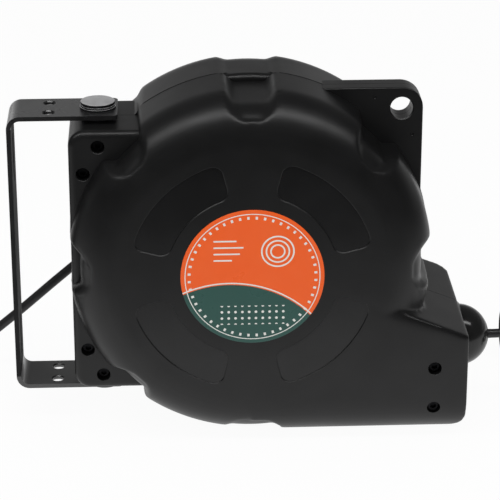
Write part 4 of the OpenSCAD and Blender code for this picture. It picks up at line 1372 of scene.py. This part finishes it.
class REEL_OT_rear(Operator):
    """Rear hub cover and the gland of the supply lead"""
    bl_idname = "reel.rear"
    bl_label = "Hub cover"

    def execute(self, context):
        low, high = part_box("hub_cover")
        radius = (high.x - low.x) / 2
        depth = high.y - low.y
        wall = 3 * MM
        roof = depth - wall
        sunk = depth - 1.2 * MM
        profile = [(0, radius - wall), (0, radius), (depth, radius, 4 * MM),
                   (depth, radius - 16 * MM, 0.5 * MM), (sunk, radius - 17 * MM, 0.5 * MM),
                   (sunk, 0), (roof, 0), (roof, radius - wall, 2 * MM)]
        form = turned(profile, (0, low.y, AXIS.z), (0, 1, 0), closed=True, steps=96)
        cover = finished("rear_hub_cover", form)
        exit_x, exit_y, exit_z = LEAD_ROUTE[0]
        boolean(cover, rod((-2 * radius, exit_y, exit_z), (-radius / 2, exit_y, exit_z), GLAND_R * MM + FIT))
        shade(cover)
        dress(cover, "casing_plastic", "casing", "hub_cover")
        length = (GLAND_ROOT - exit_x) / MM
        taper = ribbed(17, 41, 8.4, 5.9, 6, 1.1)
        profile = mm((0, 0), (0, GLAND_R), (9, GLAND_R), (9.05, 9.5, 0.8), (15, 9.5, 0.8), (15, 8.5),
                     *taper, (length, 5.45, 0.5), (length, 0))
        gland = finished("lead_strain_relief", turned(profile, (GLAND_ROOT, exit_y, exit_z), (-1, 0, 0)))
        dress(gland, "connector_rubber", "casing", "lead_gland")
        return {"FINISHED"}


class REEL_PT_panel(Panel):
    """Sidebar panel of the reel's steps and sizes"""
    bl_label = "Cord reel"
    bl_idname = "REEL_PT_panel"
    bl_space_type = "VIEW_3D"
    bl_region_type = "UI"
    bl_category = "Reel"

    def draw(self, context):
        column = self.layout.column()
        for step in STEPS:
            column.operator(step.bl_idname)
        for place, group in GROUPS.items():
            for name in group.__annotations__:
                column.prop(getattr(context.scene, place), name)


GROUPS = {"reel_casing": ReelCasing, "reel_fittings": ReelFittings, "reel_colours": ReelColours}
STEPS = (REEL_OT_stage, REEL_OT_finishes, REEL_OT_cords, REEL_OT_casing, REEL_OT_screws, REEL_OT_label,
         REEL_OT_bracket, REEL_OT_ball, REEL_OT_rear)
CLASSES = (*GROUPS.values(), *STEPS, REEL_PT_panel)


def register():
    """Registers the classes and gives the scene their sizes and colours."""
    for item in CLASSES:
        bpy.utils.register_class(item)
    for name, group in GROUPS.items():
        setattr(bpy.types.Scene, name, PointerProperty(type=group))


def unregister():
    """Takes away what register adds."""
    for name in GROUPS:
        delattr(bpy.types.Scene, name)
    for item in reversed(CLASSES):
        bpy.utils.unregister_class(item)


def main():
    """Runs every step in order."""
    register()
    for step in STEPS:
        area, name = step.bl_idname.split(".")
        getattr(getattr(bpy.ops, area), name)()


if __name__ == "__main__":
    main()
